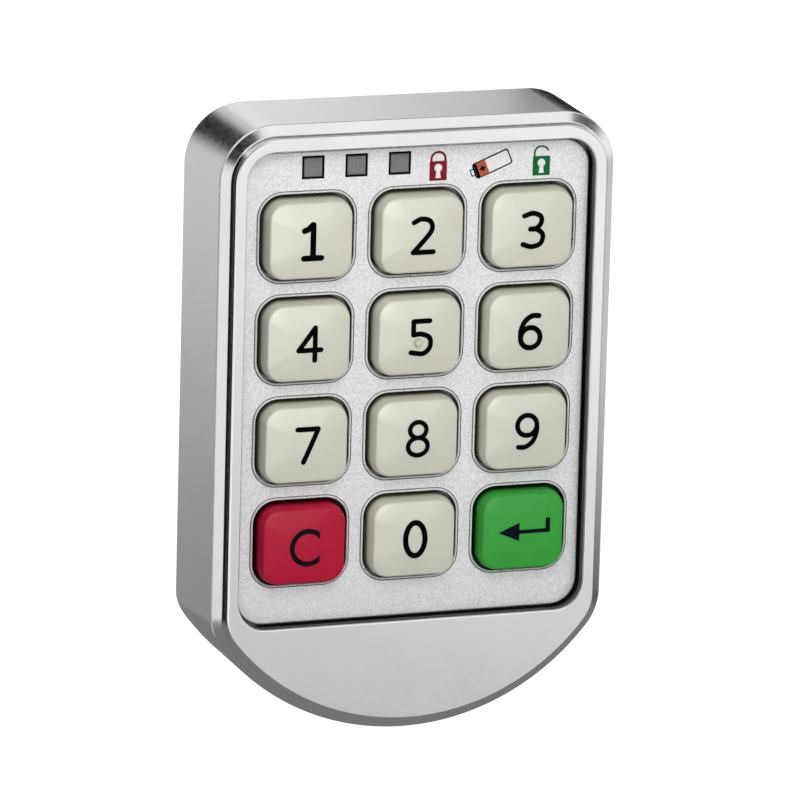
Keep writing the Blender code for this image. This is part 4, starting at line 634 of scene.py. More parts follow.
# The outer rounded edge takes the painted highlight, apart from its top, its lowest part and its
# upper right corner.
add_skin(bm, [(body_line(inset), depth) for inset, depth in outer_edge], look=HIGHLIT)
for face in bm.faces:
    middle = face.calc_center_median()
    in_corner = middle.x > UNHIGHLIT_CORNER[0] and middle.z > UNHIGHLIT_CORNER[1]
    if in_corner or middle.z < HIGHLIGHT_BOTTOM or middle.z > HIGHLIGHT_TOP:
        face.material_index = PLATED
front_rings = outer_edge[-1:] + hollow + rim_edge
add_skin(bm, [(body_line(inset), depth) for inset, depth in front_rings])
add_flat(bm, BODY_FRONT, body_line(rim_edge[-1][0]), [recess_line(RECESS_EDGE)])
edge_rings = [
    (recess_line(RECESS_EDGE * (1 - s)), BODY_FRONT - RECESS_EDGE * (1 - c)) for s, c in quarter(4)
]
add_skin(bm, edge_rings)
recess = recess_line(0.0)
opening = recess_line(-SHELF_WIDTH)
# The recess wall, with a bead along it, takes the dark finish that also paints its shade.
wall_rings = [(recess, BODY_FRONT - RECESS_EDGE), (recess, BEAD_DEPTH + BEAD_SIZE)]
for s, c in lean(BEAD_START, math.pi - BEAD_START, 6):
    wall_rings.append((recess_line(-BEAD_SIZE * s), BEAD_DEPTH + BEAD_SIZE * c))
wall_rings += [(recess, BEAD_DEPTH - BEAD_SIZE), (recess, SHELF_FRONT)]
add_skin(bm, wall_rings, look=DARK_SHADE)
add_skin(bm, [(recess, SHELF_FRONT), (opening, SHELF_FRONT), (opening, SHELF_REAR)])
cavity = with_cut(body_line(CAVITY_INSET), LOW_CAVITY_TOP)
upper = [point for point in cavity if point[1] >= LOW_CAVITY_TOP - 1e-9]
lower = [point for point in cavity if point[1] <= LOW_CAVITY_TOP + 1e-9]
add_flat(bm, SHELF_REAR, upper, [opening])
add_flat(bm, LOW_CAVITY_FRONT, lower)
add_skin(bm, [(lower, SHELF_REAR), (lower, LOW_CAVITY_FRONT)])
add_skin(bm, [(cavity, 0.0), (cavity, SHELF_REAR)])
groove_outer, groove_inner = body_line(GROOVE_START), body_line(GROOVE_END)
add_flat(bm, 0.0, rear_line, [groove_outer])
groove_rings = [(groove_outer, 0.0), (groove_outer, GROOVE_DEPTH)]
groove_rings += [(groove_inner, GROOVE_DEPTH), (groove_inner, 0.0)]
add_skin(bm, groove_rings)
add_flat(bm, 0.0, groove_inner, [cavity])
for x, z in BOSS_PLACES:
    add_tube(bm, x, z, *BOSS)
add_tube(bm, 0.0, CRADLE_HEIGHT, *CRADLE, CRADLE_STEPS)
shell_piece("housing_shell", bm, [chrome, dark_wall_and_shade, chrome_edge_highlight], "lock_body", ["housing"])


# Fascia: a thin plate sprayed with silver paint, dropped into the recess. Each key hole has a
# pressed lip round it, and three square holes show the status lights. The groove round each lip and
# the wall of each hole are dark as painted shade.
PLATE_REAR = 0.0133
PLATE_FRONT = 0.0145
PLATE_EDGE = 0.0003
PLATE_GAP = 0.0003
KEY_STEP_X = 0.01656
KEY_ROWS = (0.02830, 0.01355, -0.00120, -0.01595)
KEY_NAMES = (("1", "2", "3"), ("4", "5", "6"), ("7", "8", "9"), ("clear", "0", "enter"))
HOLE_HALF_WIDTH = 0.0070
HOLE_HALF_HEIGHT = 0.0062
HOLE_CORNER = 0.0033
LIP_WIDTH = 0.00045
LIP_RISE = 0.00020
# The lip's section from a fine groove round it to the hole: shares of its width and its rise.
LIP_GROOVE = ((1.0, 0.0), (0.90, -0.45), (0.78, -0.40))
LIP_ROUND = ((0.60, 0.55), (0.50, 0.90), (0.38, 1.0), (0.24, 0.9), (0.10, 0.55), (0.0, -0.2))
# The lip's finish, and the dark finish that paints shade in the lip's groove and down the hole.
LIP_FINISH, GAP_SHADE = 1, 2
LIGHT_PLACES = (-0.0158, -0.00935, -0.0029)
LIGHT_HEIGHT = 0.03822
LIGHT_HALF = 0.00135
LIGHT_HOLE_GAP = 0.0001
LIGHT_CORNER = 0.0001

# The paint is darkened beside the recess wall and round the keys as painted shade.
silver_paint = finish(
    "silver_paint", (0.90, 0.90, 0.905), (0.68, 0.68, 0.685), 0.3, (0.32, 0.50),
    cloud_size=0.00020, clouds=1.0, grain_size=0.0002, bump=0.4, bump_height=0.00003,
    edge_colour=(0.92, 0.92, 0.93), hollow_shade=0.7, hollow_shade_reach=0.0012,
)
# The lip's crease takes a fine line of painted shade.
bright_lip = finish(
    "bright_lip", (0.93, 0.93, 0.94), (0.84, 0.84, 0.85), 0.5, (0.26, 0.36), cloud_size=0.002,
    grain_size=0.0006, bump=0.03, edge_colour=(0.97, 0.97, 0.97), hollow_shade=0.8, hollow_shade_reach=0.00025,
)

key_places = {}
for row_names, height in zip(KEY_NAMES, KEY_ROWS):
    for column, key_name in enumerate(row_names, -1):
        key_places[key_name] = (column * KEY_STEP_X, height)


def hole_line(x, z, grown):
    return round_box(HOLE_HALF_WIDTH + grown, HOLE_HALF_HEIGHT + grown, HOLE_CORNER + grown, x, z)


def light_line(x, half):
    return round_box(half, half, LIGHT_CORNER, x, LIGHT_HEIGHT, 2)


bm = bmesh.new()
shoulder = PLATE_FRONT - PLATE_EDGE
edge_rings = [(recess_line(-PLATE_GAP), PLATE_REAR)]
for s, c in quarter(4):
    edge_rings.append((recess_line(-PLATE_GAP - PLATE_EDGE * (1 - c)), shoulder + PLATE_EDGE * s))
add_skin(bm, edge_rings)
key_holes = [hole_line(x, z, LIP_WIDTH) for x, z in key_places.values()]
light_holes = [light_line(x, LIGHT_HALF + LIGHT_HOLE_GAP) for x in LIGHT_PLACES]
add_flat(bm, PLATE_FRONT, recess_line(-PLATE_GAP - PLATE_EDGE), key_holes + light_holes)
rear_holes = [hole_line(x, z, 0.0) for x, z in key_places.values()]
add_flat(bm, PLATE_REAR, recess_line(-PLATE_GAP), rear_holes + light_holes)
for x, z in key_places.values():
    lip = [
        (hole_line(x, z, LIP_WIDTH * width), PLATE_FRONT + LIP_RISE * rise)
        for width, rise in LIP_GROOVE + LIP_ROUND
    ]
    # The groove round the lip and the hole's wall below it take the dark finish as painted shade.
    add_skin(bm, lip[: len(LIP_GROOVE)], look=GAP_SHADE)
    add_skin(bm, lip[len(LIP_GROOVE) - 1 :], look=LIP_FINISH)
    add_skin(bm, [lip[-1], (hole_line(x, z, 0.0), PLATE_REAR)], look=GAP_SHADE)
for line in light_holes:
    add_skin(bm, [(line, PLATE_FRONT), (line, PLATE_REAR)])
fascia_looks = [silver_paint, bright_lip, dark_wall_and_shade]
shell_piece("fascia_face", bm, fascia_looks, "lock_body", ["fascia_plate"])


# Keys: hollow caps moulded in coloured plastic, ten ivory, one red and one green. Each has a
# flange that the fascia holds back and a stem that presses the dome under it.
KEY_BASE_HALF_WIDTH = 0.0067
KEY_BASE_HALF_HEIGHT = 0.0059
KEY_BASE_CORNER = 0.0031
KEY_TOP_CORNER = 0.0024
KEY_TAPER_WIDTH = 0.00055
KEY_TAPER_HEIGHT = 0.00040
KEY_TAPER_POWER = 1.3
KEY_LEAN = 0.00015
KEY_EDGE = 0.00030
KEY_CROWN = 0.00050
KEY_FRONT = 0.0168
KEY_REAR = 0.01245
KEY_FLANGE_FRONT = 0.01305
KEY_FLANGE_WIDTH = 0.0010
KEY_WALL = 0.0012
KEY_TOP_WALL = 0.0013
KEY_STEM_RADIUS = 0.0015
KEY_STEM_REAR = 0.01285
KEY_CORNER_STEPS = 12
KEY_WALL_STEPS = 5
KEY_FACE_SHARES = (0.88, 0.76, 0.64, 0.52, 0.40, 0.28, 0.16)
FACE_MARGIN = 1.01
# How much paler a key's edges are painted, as a highlight.
KEY_HIGHLIGHT_GAIN = 1.3
KEY_HIGHLIGHT_PALE = 0.08


def crown(x, z, centre):
    """How far a key's slightly domed face falls behind its middle, at a place."""
    along = (x - centre[0]) / KEY_BASE_HALF_WIDTH
    up = (z - centre[1]) / KEY_BASE_HALF_HEIGHT
    return KEY_CROWN * (along * along + up * up) / 2


def key_plastic(name, main, other, gloss, hollow_shade_reach, hollow_shade_start, hollow_shade_tint):
    """Plastic with paler edges painted on as a highlight, and with its own colour times its last
    argument, a tint, painted on as shade low between the keys.
    """
    return finish(
        name, main, other, 0.0, (0.31, 0.37), cloud_size=0.0025, clouds=0.5, grain_size=0.00025,
        bump=0.12, edge_width=0.0002, edge_amount=0.7,
        edge_colour=tuple(min(1.0, part * KEY_HIGHLIGHT_GAIN + KEY_HIGHLIGHT_PALE) for part in main),
        hollow_shade=0.97, hollow_shade_reach=hollow_shade_reach, hollow_shade_start=hollow_shade_start,
        hollow_shade_colour=tuple(part * share for part, share in zip(main, hollow_shade_tint)),
        sockets={"Specular IOR Level": gloss},
    )


# The painted shade low on the keys' sides: its reach, where it starts and the tint that times the
# plastic's colour.
ivory_hollow_shade = (0.0018, 0.92, (0.12, 0.13, 0.07))
colour_hollow_shade = (0.0026, 0.97, (0.03, 0.03, 0.03))
ivory_tones = ((0.57, 0.565, 0.475), (0.54, 0.535, 0.445))
red_tones = ((0.45, 0.003, 0.030), (0.40, 0.002, 0.025))
green_tones = ((0.034, 0.345, 0.040), (0.028, 0.305, 0.033))
ivory = key_plastic("ivory_key_plastic", *ivory_tones, 1.0, *ivory_hollow_shade)
red_plastic = key_plastic("red_key_plastic", *red_tones, 0.15, *colour_hollow_shade)
green_plastic = key_plastic("green_key_plastic", *green_tones, 0.2, *colour_hollow_shade)
key_finish = {"clear": (red_plastic, "red"), "enter": (green_plastic, "green")}


def cap_line(place, grown, radius, rise=0.0):
    """A key's outline, at a share of the way from its flange to its face."""
    taper = rise**KEY_TAPER_POWER
    half_x = KEY_BASE_HALF_WIDTH - KEY_TAPER_WIDTH * taper + grown
    half_z = KEY_BASE_HALF_HEIGHT - KEY_TAPER_HEIGHT * taper + grown
    return round_box(half_x, half_z, radius, place[0], place[1] - KEY_LEAN * rise, KEY_CORNER_STEPS)


for key_name, place in key_places.items():
    x, z = place
    rings = [(cap_line(place, 0.0, KEY_BASE_CORNER), KEY_FLANGE_FRONT)]
    for step in range(1, KEY_WALL_STEPS):
        rise = step / KEY_WALL_STEPS
        depth = KEY_FLANGE_FRONT + (KEY_FRONT - KEY_EDGE - KEY_FLANGE_FRONT) * rise
        radius = KEY_BASE_CORNER + (KEY_TOP_CORNER - KEY_BASE_CORNER) * rise
        rings.append((cap_line(place, 0.0, radius, rise), depth))
    for s, c in quarter(6):
        round_off = KEY_EDGE * (1 - c)
        edge_line = cap_line(place, -round_off, KEY_TOP_CORNER - round_off, 1.0)
        rings.append((edge_line, KEY_FRONT - KEY_EDGE * (1 - s)))
    for share in KEY_FACE_SHARES:
        face_line = [(x + (a - x) * share, z + (b - z) * share) for a, b in edge_line]
        rings.append((face_line, KEY_FRONT))
    bm = bmesh.new()
    add_skin(bm, rings)
    add_flat(bm, KEY_FRONT, rings[-1][0])
    for vertex in bm.verts:
        if -vertex.co.y > KEY_FRONT - KEY_EDGE * FACE_MARGIN:
            vertex.co.y += crown(vertex.co.x, vertex.co.z, place)
    flange = cap_line(place, KEY_FLANGE_WIDTH, KEY_BASE_CORNER + KEY_FLANGE_WIDTH)
    inner = cap_line(place, -KEY_WALL, KEY_BASE_CORNER - KEY_WALL)
    inner_top = cap_line(place, -KEY_WALL, KEY_BASE_CORNER - KEY_WALL, 1.0)
    stem = round_box(KEY_STEM_RADIUS, KEY_STEM_RADIUS, KEY_STEM_RADIUS, x, z, KEY_CORNER_STEPS)
    ceiling = KEY_FRONT - KEY_TOP_WALL
    under = [(rings[0][0], KEY_FLANGE_FRONT), (flange, KEY_FLANGE_FRONT), (flange, KEY_REAR)]
    under += [(inner, KEY_REAR), (inner_top, ceiling), (stem, ceiling), (stem, KEY_STEM_REAR)]
    add_skin(bm, under)
    add_flat(bm, KEY_STEM_REAR, stem)
    look, slot_name = key_finish.get(key_name, (ivory, "ivory"))
    node = "key_" + key_name
    cap = shell_piece("keycap_" + key_name, bm, [look], "cap_" + key_name, [node], 50.0)
    glossy_keys.objects.link(cap)


# Legends: the figures, the letter and the return arrow are printed on the keys in ink, and
# the middle key has a small moulded dot to find it by touch. Their shapes are in millimetres.
INK_THICKNESS = 0.00003
FIGURE_HALF_STROKE = 0.36
HEAVY_STROKES = {"1": 0.42, "0": 0.40, "6": 0.38, "8": 0.34}
FIGURE_STRETCH = (1.06, 1.04)
FIGURE_SHIFT = (0.00012, -0.00022)
LETTER_CENTRE = 0.56
LETTER_OUTER = (2.75, 50.5)
LETTER_INNER = (2.05, 32.0)
LETTER_STEPS = 44
LETTER_DROP = 0.0004
DOT_RADIUS = 0.00062
DOT_HEIGHT = 0.00038
DOT_SHIFT = (-0.0002, -0.0010)
DOT_SUNK = 0.0002
MILLIMETRE = 0.001


def key_ink(name, main, other):
    return finish(
        name, main, other, 0.0, (0.40, 0.55), cloud_size=0.0008, edge_amount=0.0, hollow_shade=0.0,
        sockets={"Specular IOR Level": 0.0},
    )


ink = key_ink("legend_ink", (0.002, 0.002, 0.002), (0.004, 0.004, 0.004))
navy_ink = key_ink("navy_ink", (0.006, 0.006, 0.012), (0.009, 0.009, 0.018))


def bend(*points, steps=8):
    """A smooth line through the points."""
    points = [Vector(point) for point in points]
    ends = [points[0] * 2 - points[1]] + points + [points[-1] * 2 - points[-2]]
    made = []
    for index in range(len(points) - 1):
        before, start, end, after = ends[index : index + 4]
        for step in range(steps):
            t = step / steps
            place = start * 2 + (end - before) * t
            place += (before * 2 - start * 5 + end * 4 - after) * t**2
            place += (start * 3 - before - end * 3 + after) * t**3
            made.append(place / 2)
    return made + [points[-1]]


def oval(centre_x, centre_z, radius_x, radius_z, start=0.0, end=360.0, steps=40):
    """Points along an ellipse or a part of it, with its ends in degrees."""
    angles = [math.radians(start + (end - start) * step / steps) for step in range(steps + 1)]
    return [
        Vector((centre_x + radius_x * math.cos(a), centre_z + radius_z * math.sin(a)))
        for a in angles
    ]


def stroke(line, half):
    """Round-ended bars that together make a pen stroke along the line."""
    bars = []
    for start, end in zip(line, line[1:]):
        start, end = Vector(start), Vector(end)
        along = math.atan2(end.y - start.y, end.x - start.x)
        bar = arc(end.x, end.y, half, along - math.pi / 2, along + math.pi / 2, 8)
        bar += arc(start.x, start.y, half, along + math.pi / 2, along + 3 * math.pi / 2, 8)
        bars.append(bar)
    return bars


def with_steps(shape, longest=0.7):
    """The shape with points added along its sides, so that it can follow a dome."""
    made = []
    for index, place in enumerate(shape):
        last, place = Vector(shape[index - 1]), Vector(place)
        count = math.ceil((place - last).length / longest)
        made += [last.lerp(place, step / count) for step in range(1, count + 1)]
    return made


def add_print(name, shapes, x, z, depth, material, body="lock_body"):
    """A thin raised film of ink in the union of the shapes, given in millimetres about x, z. On a
    key it follows the dome of the key's face."""
    points, faces = [], []
    on_key = body.startswith("cap_")
    for shape in shapes:
        first = len(points)
        for place in with_steps(shape) if on_key else shape:
            points.append(Vector((x + place[0] * MILLIMETRE, z + place[1] * MILLIMETRE)))
        faces.append(list(range(first, len(points))))
    places, _, faces, _, _, covered_by = delaunay_2d_cdt(points, [], faces, 1, 1e-7)
    bm = bmesh.new()
    front = [bm.verts.new((place.x, -depth - INK_THICKNESS, place.y)) for place in places]
    for face, shapes_there in zip(faces, covered_by):
        if shapes_there and len(set(face)) > 2:
            bm.faces.new([front[index] for index in face])
    film = bmesh.ops.extrude_face_region(bm, geom=bm.faces[:])
    rear = [part for part in film["geom"] if isinstance(part, bmesh.types.BMVert)]
    bmesh.ops.translate(bm, verts=rear, vec=(0.0, INK_THICKNESS * 2, 0.0))
    if on_key:
        for vertex in bm.verts:
            vertex.co.y += crown(vertex.co.x, vertex.co.z, key_places[body[4:]])
    return shell_piece(name, bm, [material], body, sharp=40.0)


FIGURES = {
    "1": [
        [(-1.15, 1.50), (-0.55, 1.72), (0.02, 2.30)],
        [(0.10, 2.30), (0.10, -2.31)],
        [(-1.15, -2.31), (1.30, -2.31)],
    ],
    "2": [
        bend((-1.4, 1.85), (-0.35, 2.31), (0.85, 2.02), (1.22, 1.1), (0.7, 0.05), (-1.42, -2.31)),
        [(-1.42, -2.31), (1.45, -2.31)],
    ],
    "3": [
        bend((-1.35, 1.98), (-0.1, 2.31), (1.0, 1.85), (1.08, 0.95), (0.45, 0.25), (-0.45, 0.12)),
        bend(
            (-0.45, 0.12), (0.55, 0.02), (1.35, -0.75), (1.05, -1.95), (-0.2, -2.34), (-1.45, -1.98)
        ),
    ],
    "4": [[(0.70, 2.20), (-1.60, -0.88), (1.55, -0.88)], [(0.70, 2.20), (0.70, -2.31)]],
    "5": [
        [(1.25, 2.28), (-1.05, 2.28), (-1.05, 0.42)],
        bend(
            (-1.05, 0.42), (0.1, 0.48), (1.25, -0.1), (1.32, -1.35), (0.4, -2.25), (-1.35, -2.05)
        ),
    ],
    "6": [
        bend((1.20, 2.12), (0.20, 2.12), (-0.85, 1.35), (-1.35, 0.05), (-1.38, -0.95)),
        oval(0.02, -0.92, 1.40, 1.42),
    ],
    "7": [[(-1.45, 2.28), (1.45, 2.28), (-0.55, -2.31)]],
    "8": [oval(0.0, 1.22, 1.16, 1.10), oval(0.0, -1.10, 1.40, 1.23)],
    "9": [
        bend((-1.20, -2.12), (-0.20, -2.12), (0.85, -1.35), (1.35, -0.05), (1.38, 0.95)),
        oval(-0.02, 0.92, 1.40, 1.42),
    ],
    "0": [oval(0.0, 0.0, 1.38, 2.33, steps=56)],
}
for figure, lines in FIGURES.items():
    half = HEAVY_STROKES.get(figure, FIGURE_HALF_STROKE)
    wide, high = FIGURE_STRETCH
    lines = [[(place[0] * wide, place[1] * high) for place in line] for line in lines]
    bars = [bar for line in lines for bar in stroke(line, half)]
    x, z = key_places[figure]
    x, z = x + FIGURE_SHIFT[0], z + FIGURE_SHIFT[1]
    add_print("figure_" + figure, bars, x, z, KEY_FRONT, ink, "cap_" + figure)

curves = [
    oval(LETTER_CENTRE, 0.0, radius, radius, gap, 360.0 - gap, LETTER_STEPS)
    for radius, gap in (LETTER_OUTER, LETTER_INNER)
]
letter = [
    [curves[0][step], curves[0][step + 1], curves[1][step + 1], curves[1][step]]
    for step in range(LETTER_STEPS)
]
x, z = key_places["clear"]
add_print("letter_c", letter, x, z - LETTER_DROP, KEY_FRONT, navy_ink, "cap_clear")

arrow = [
    [(-3.70, -0.18), (-0.60, -1.55), (-0.60, 1.19)],
    [(-0.90, -0.46), (4.10, -0.46), (4.10, 0.10), (-0.90, 0.10)],
    [(3.44, -0.46), (4.10, -0.46), (4.10, 1.66), (3.44, 1.66)],
]
add_print("return_arrow", arrow, *key_places["enter"], KEY_FRONT, navy_ink, "cap_enter")

x, z = key_places["5"]
x, z = x + DOT_SHIFT[0], z + DOT_SHIFT[1]
rings = [
    (circle(DOT_RADIUS * c, x, z, 32), KEY_FRONT + DOT_HEIGHT * s) for s, c in quarter(7)[:-1]
]
bm = bmesh.new()
add_skin(bm, [(rings[0][0], KEY_FRONT - DOT_SUNK)] + rings)
add_flat(bm, rings[-1][1], rings[-1][0])
add_flat(bm, KEY_FRONT - DOT_SUNK, rings[0][0])
shell_piece("touch_dot", bm, [ivory], "cap_5", sharp=60.0)


# Status windows: three square light pipes of smoked plastic in the fascia, each with a dark
# printed line round it.
LENS_EDGE = 0.0001
LENS_PROUD = 0.00005
LENS_EDGE_DEPTH = 0.00004
LENS_FLANGE_WIDTH = 0.0005
LENS_FLANGE_FRONT = 0.01305
LENS_FLANGE_REAR = 0.01245
LENS_STEM_HALF = 0.0008
LENS_STEM_REAR = 0.0112
# The printed line is in millimetres, and runs a little over the edge of its hole.
FRAME_LINE = 0.20
FRAME_OVERLAP = 0.02

lens_plastic = finish(
    "smoked_lens", (0.175, 0.175, 0.175), (0.110, 0.110, 0.115), 0.0, (0.25, 0.45),
    cloud_size=0.0004, grain_size=0.0002, bump=0.3, edge_colour=(0.05, 0.05, 0.05),
    sockets={"Coat Weight": 0.3, "Coat Roughness": 0.2},
)
for index, x in enumerate(LIGHT_PLACES, 1):
    flange, stem = light_line(x, LIGHT_HALF + LENS_FLANGE_WIDTH), light_line(x, LENS_STEM_HALF)
    rings = [
        (light_line(x, LIGHT_HALF - LENS_EDGE), PLATE_FRONT + LENS_PROUD),
        (light_line(x, LIGHT_HALF), PLATE_FRONT - LENS_EDGE_DEPTH),
        (light_line(x, LIGHT_HALF), LENS_FLANGE_FRONT),
        (flange, LENS_FLANGE_FRONT),
        (flange, LENS_FLANGE_REAR),
        (stem, LENS_FLANGE_REAR),
        (stem, LENS_STEM_REAR),
    ]
    bm = bmesh.new()
    add_skin(bm, rings)
    add_flat(bm, rings[0][1], rings[0][0])
    add_flat(bm, LENS_STEM_REAR, stem)
    node = f"indicator_window_{index}"
    shell_piece(f"light_window_{index}", bm, [lens_plastic], "lock_body", [node])
    half = (LIGHT_HALF + LIGHT_HOLE_GAP) / MILLIMETRE
    wide = half + FRAME_LINE
    sides = []
    for side in (-1, 1):
        low, high = sorted((side * (half - FRAME_OVERLAP), side * wide))
        sides.append([(-wide, low), (wide, low), (wide, high), (-wide, high)])
        sides.append([(low, -wide), (high, -wide), (high, wide), (low, wide)])
    add_print(f"light_frame_{index}", sides, x, LIGHT_HEIGHT, PLATE_FRONT, ink)


# Signs: a closed lock, a battery and an open lock, printed in colour beside the windows. Their
# shapes are in millimetres.
SIGN_HEIGHT = 0.0375
CLOSED_LOCK_X = 0.00288
OPEN_LOCK_X = 0.01845
BATTERY_PLACE = (0.01085, 0.0374)
BATTERY_TILT = math.radians(22.0)
BATTERY_SCALE = 1.08
MATT = {"Specular IOR Level": 0.1}


def sign_print(name, main, other, sockets=None):
    return finish(name, main, other, 0.0, (0.4, 0.5), cloud_size=0.0004, sockets=sockets)


red_print = sign_print("red_print", (0.19, 0.008, 0.016), (0.23, 0.015, 0.024), MATT)
green_print = sign_print("green_print", (0.003, 0.12, 0.028), (0.006, 0.15, 0.038), MATT)
white_print = sign_print("white_print", (0.80, 0.80, 0.79), (0.72, 0.72, 0.71))
brown_print = sign_print("brown_print", (0.42, 0.080, 0.030), (0.34, 0.06, 0.022))


def bar_shape(half_x, half_z, centre_x=0.0, centre_z=0.0, corner=0.12):
    return round_box(half_x, half_z, corner, centre_x, centre_z, 4)


closed_ends, open_ends = [(-1.05, 0.5)], [(-1.05, 0.5), (-1.05, 1.15)]
closed_loop = stroke(closed_ends + oval(0.0, 1.05, 1.05, 0.98, 180, 0, 18) + [(1.05, 0.5)], 0.16)
open_loop = stroke(open_ends + oval(0.0, 1.22, 1.05, 0.92, 170, 22, 18), 0.13)
keyhole = [oval(0.0, -0.25, 0.58, 0.58, steps=20)[:-1]]
keyhole.append([(-0.24, -0.5), (-0.40, -1.72), (0.40, -1.72), (0.24, -0.5)])
for name, x, look, loop in (
    ("closed", CLOSED_LOCK_X, red_print, closed_loop),
    ("open", OPEN_LOCK_X, green_print, open_loop),
):
    shapes = [bar_shape(1.30, 1.40, 0.0, -0.68)] + loop
    add_print(f"{name}_lock_sign", shapes, x, SIGN_HEIGHT, PLATE_FRONT, look)
    above = PLATE_FRONT + INK_THICKNESS
    add_print(f"{name}_lock_keyhole", keyhole, x, SIGN_HEIGHT, above, white_print)


def tilted(shape):
    c, s = BATTERY_SCALE * math.cos(BATTERY_TILT), BATTERY_SCALE * math.sin(BATTERY_TILT)
    return [(x * c - z * s, x * s + z * c) for x, z in shape]


# Each layer lies on the last and is made of bars: half sizes, centre across and corner.
BATTERY_LAYERS = (
    ("outline", ink, ((2.70, 1.10, 0.15, 0.40), (0.30, 0.50, -2.75, 0.10))),
    ("case", white_print, ((2.51, 0.91, 0.15, 0.30), (0.16, 0.36, -2.75, 0.08))),
    ("band", brown_print, ((0.82, 0.96, -1.45, 0.10),)),
    ("end", ink, ((0.20, 0.93, -2.15, 0.10),)),
    ("plus", ink, ((0.38, 0.11, -1.30, 0.04), (0.11, 0.38, -1.30, 0.04))),
)
for index, (name, look, bars) in enumerate(BATTERY_LAYERS):
    depth = PLATE_FRONT + index * INK_THICKNESS
    shapes = [tilted(bar_shape(wide, high, x, 0.0, corner)) for wide, high, x, corner in bars]
    add_print("battery_" + name, shapes, *BATTERY_PLACE, depth, look)


# Door side: a zinc plate closes the body, with a moulded cover over the coin cells, a rubber
# ring that seals against the door, and countersunk screws.
zinc_plate = finish(
    "zinc_plate", (0.62, 0.62, 0.63), (0.50, 0.50, 0.52), 0.9, (0.34, 0.50), grain_size=0.0004,
    stretch=0.15, bump=0.2, edge_colour=(0.80, 0.80, 0.80),
)
black_plastic = finish(
    "black_moulding", (0.022, 0.022, 0.023), (0.035, 0.035, 0.036), 0.0, (0.42, 0.60),
    cloud_size=0.003, bump=0.35, edge_colour=(0.10, 0.10, 0.10),
)
rubber = finish(
    "seal_rubber", (0.016, 0.016, 0.017), (0.030, 0.029, 0.028), 0.0, (0.65, 0.85),
    cloud_size=0.002, grain_size=0.0002, bump=0.3, edge_colour=(0.06, 0.06, 0.06),
)
screw_steel = finish(
    "screw_steel", (0.52, 0.52, 0.53), (0.42, 0.42, 0.43), 1.0, (0.26, 0.42), cloud_size=0.0015,
    grain_size=0.0002, edge_colour=(0.80, 0.80, 0.78),
)


def dress(material, *names):
    """Gives CAD nodes that keep their own shape a finish."""
    for name in names:
        for slot in nodes[name].material_slots:
            slot.material = material


dress(zinc_plate, "back_plate")
dress(black_plastic, "battery_cover")
dress(rubber, "door_gasket")

# A flush screw's cross slot, the edge of its head and its blunt point, as shares of its head's
# and its shank's radius. Below are its head's and its shank's radius and its length.
SLOT_REACH = 0.62
SLOT_HALF = 0.14
SLOT_DEPTH = 0.36
HEAD_FACE = 0.93
HEAD_EDGE = 0.05
POINT_LENGTH = 0.6
POINT_RADIUS = 0.5
PLATE_SCREW = (0.0021, 0.00115, 0.0070)
FLANGE_SCREW = (0.0016, 0.0008, 0.0028)
COVER_SCREW = (0.0014, 0.0007, 0.0042)


def cross_line(x, z, reach, half):
    """The outline of a cross slot, corner by corner."""
    corners = []
    for turn in range(4):
        a = math.pi / 2 * turn
        for along, aside in ((reach, -half), (reach, half), (half, half)):
            px = along * math.cos(a) - aside * math.sin(a)
            pz = along * math.sin(a) + aside * math.cos(a)
            corners.append((x + px, z + pz))
    return corners


def flush_screw(name, node, head, shank, length):
    """A countersunk screw in the place of a CAD screw, with its head in the rear face."""
    low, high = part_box(node)
    x, z = (low.x + high.x) / 2, (low.z + high.z) / 2
    slot_line = cross_line(x, z, head * SLOT_REACH, head * SLOT_HALF)
    profile = (
        (head * HEAD_FACE, 0.0),
        (head, head * HEAD_EDGE),
        (shank, head - shank),
        (shank, length - shank * POINT_LENGTH),
        (shank * POINT_RADIUS, length),
    )
    rings = [(circle(radius, x, z, 40), depth) for radius, depth in profile]
    bm = bmesh.new()
    add_skin(bm, rings)
    add_flat(bm, 0.0, rings[0][0], [slot_line])
    add_skin(bm, [(slot_line, 0.0), (slot_line, head * SLOT_DEPTH)])
    add_flat(bm, head * SLOT_DEPTH, slot_line)
    add_flat(bm, length, rings[-1][0])
    shell_piece(name, bm, [screw_steel], "lock_body", [node])


for index in range(1, 5):
    flush_screw(f"plate_screw_{index}", f"back_plate_screw_{index}", *PLATE_SCREW)
for index in range(1, 3):
    flush_screw(f"flange_screw_{index}", f"barrel_screw_{index}", *FLANGE_SCREW)
flush_screw("cover_screw", "battery_cover_screw", *COVER_SCREW)


# Barrel: a turned and threaded zinc barrel with two flats, which passes through the door. Its
# round flange sits inside the back plate.
BARREL_RADIUS = 0.0093
BARREL_FLAT = 0.0080
BARREL_END = 0.0197
BARREL_END_RADIUS = 0.0088
BARREL_END_FLAT = 0.0077
BARREL_BORE = 0.00409
BORE_EDGE = 0.0004
FLANGE_RADIUS = 0.0125
FLANGE_FRONT = 0.00325
FLANGE_REAR = 0.00175
THREAD_PITCH = 0.00125
THREAD_DEPTH = 0.00042
THREAD_FLANK = 2.6
THREAD_ROOT = 0.3
THREAD_START = 0.0020
THREAD_END = 0.0193
THREAD_STEPS = 6
BARREL_STEPS = 96
NO_FLAT = 1.0

nickel = finish(
    "nickel_plating", (0.66, 0.65, 0.62), (0.56, 0.55, 0.53), 1.0, (0.20, 0.34), cloud_size=0.003,
    edge_colour=(0.88, 0.87, 0.84),
)


def flatted(radius_at, flat):
    """A round outline cut by two flats, with a radius that may change round it."""
    line = []
    for step in range(BARREL_STEPS):
        angle = math.tau * step / BARREL_STEPS
        radius = radius_at(angle)
        line.append((radius * math.cos(angle), max(-flat, min(flat, radius * math.sin(angle)))))
    return line


def ring_of(radius, flat=NO_FLAT):
    return flatted(lambda angle: radius, flat)


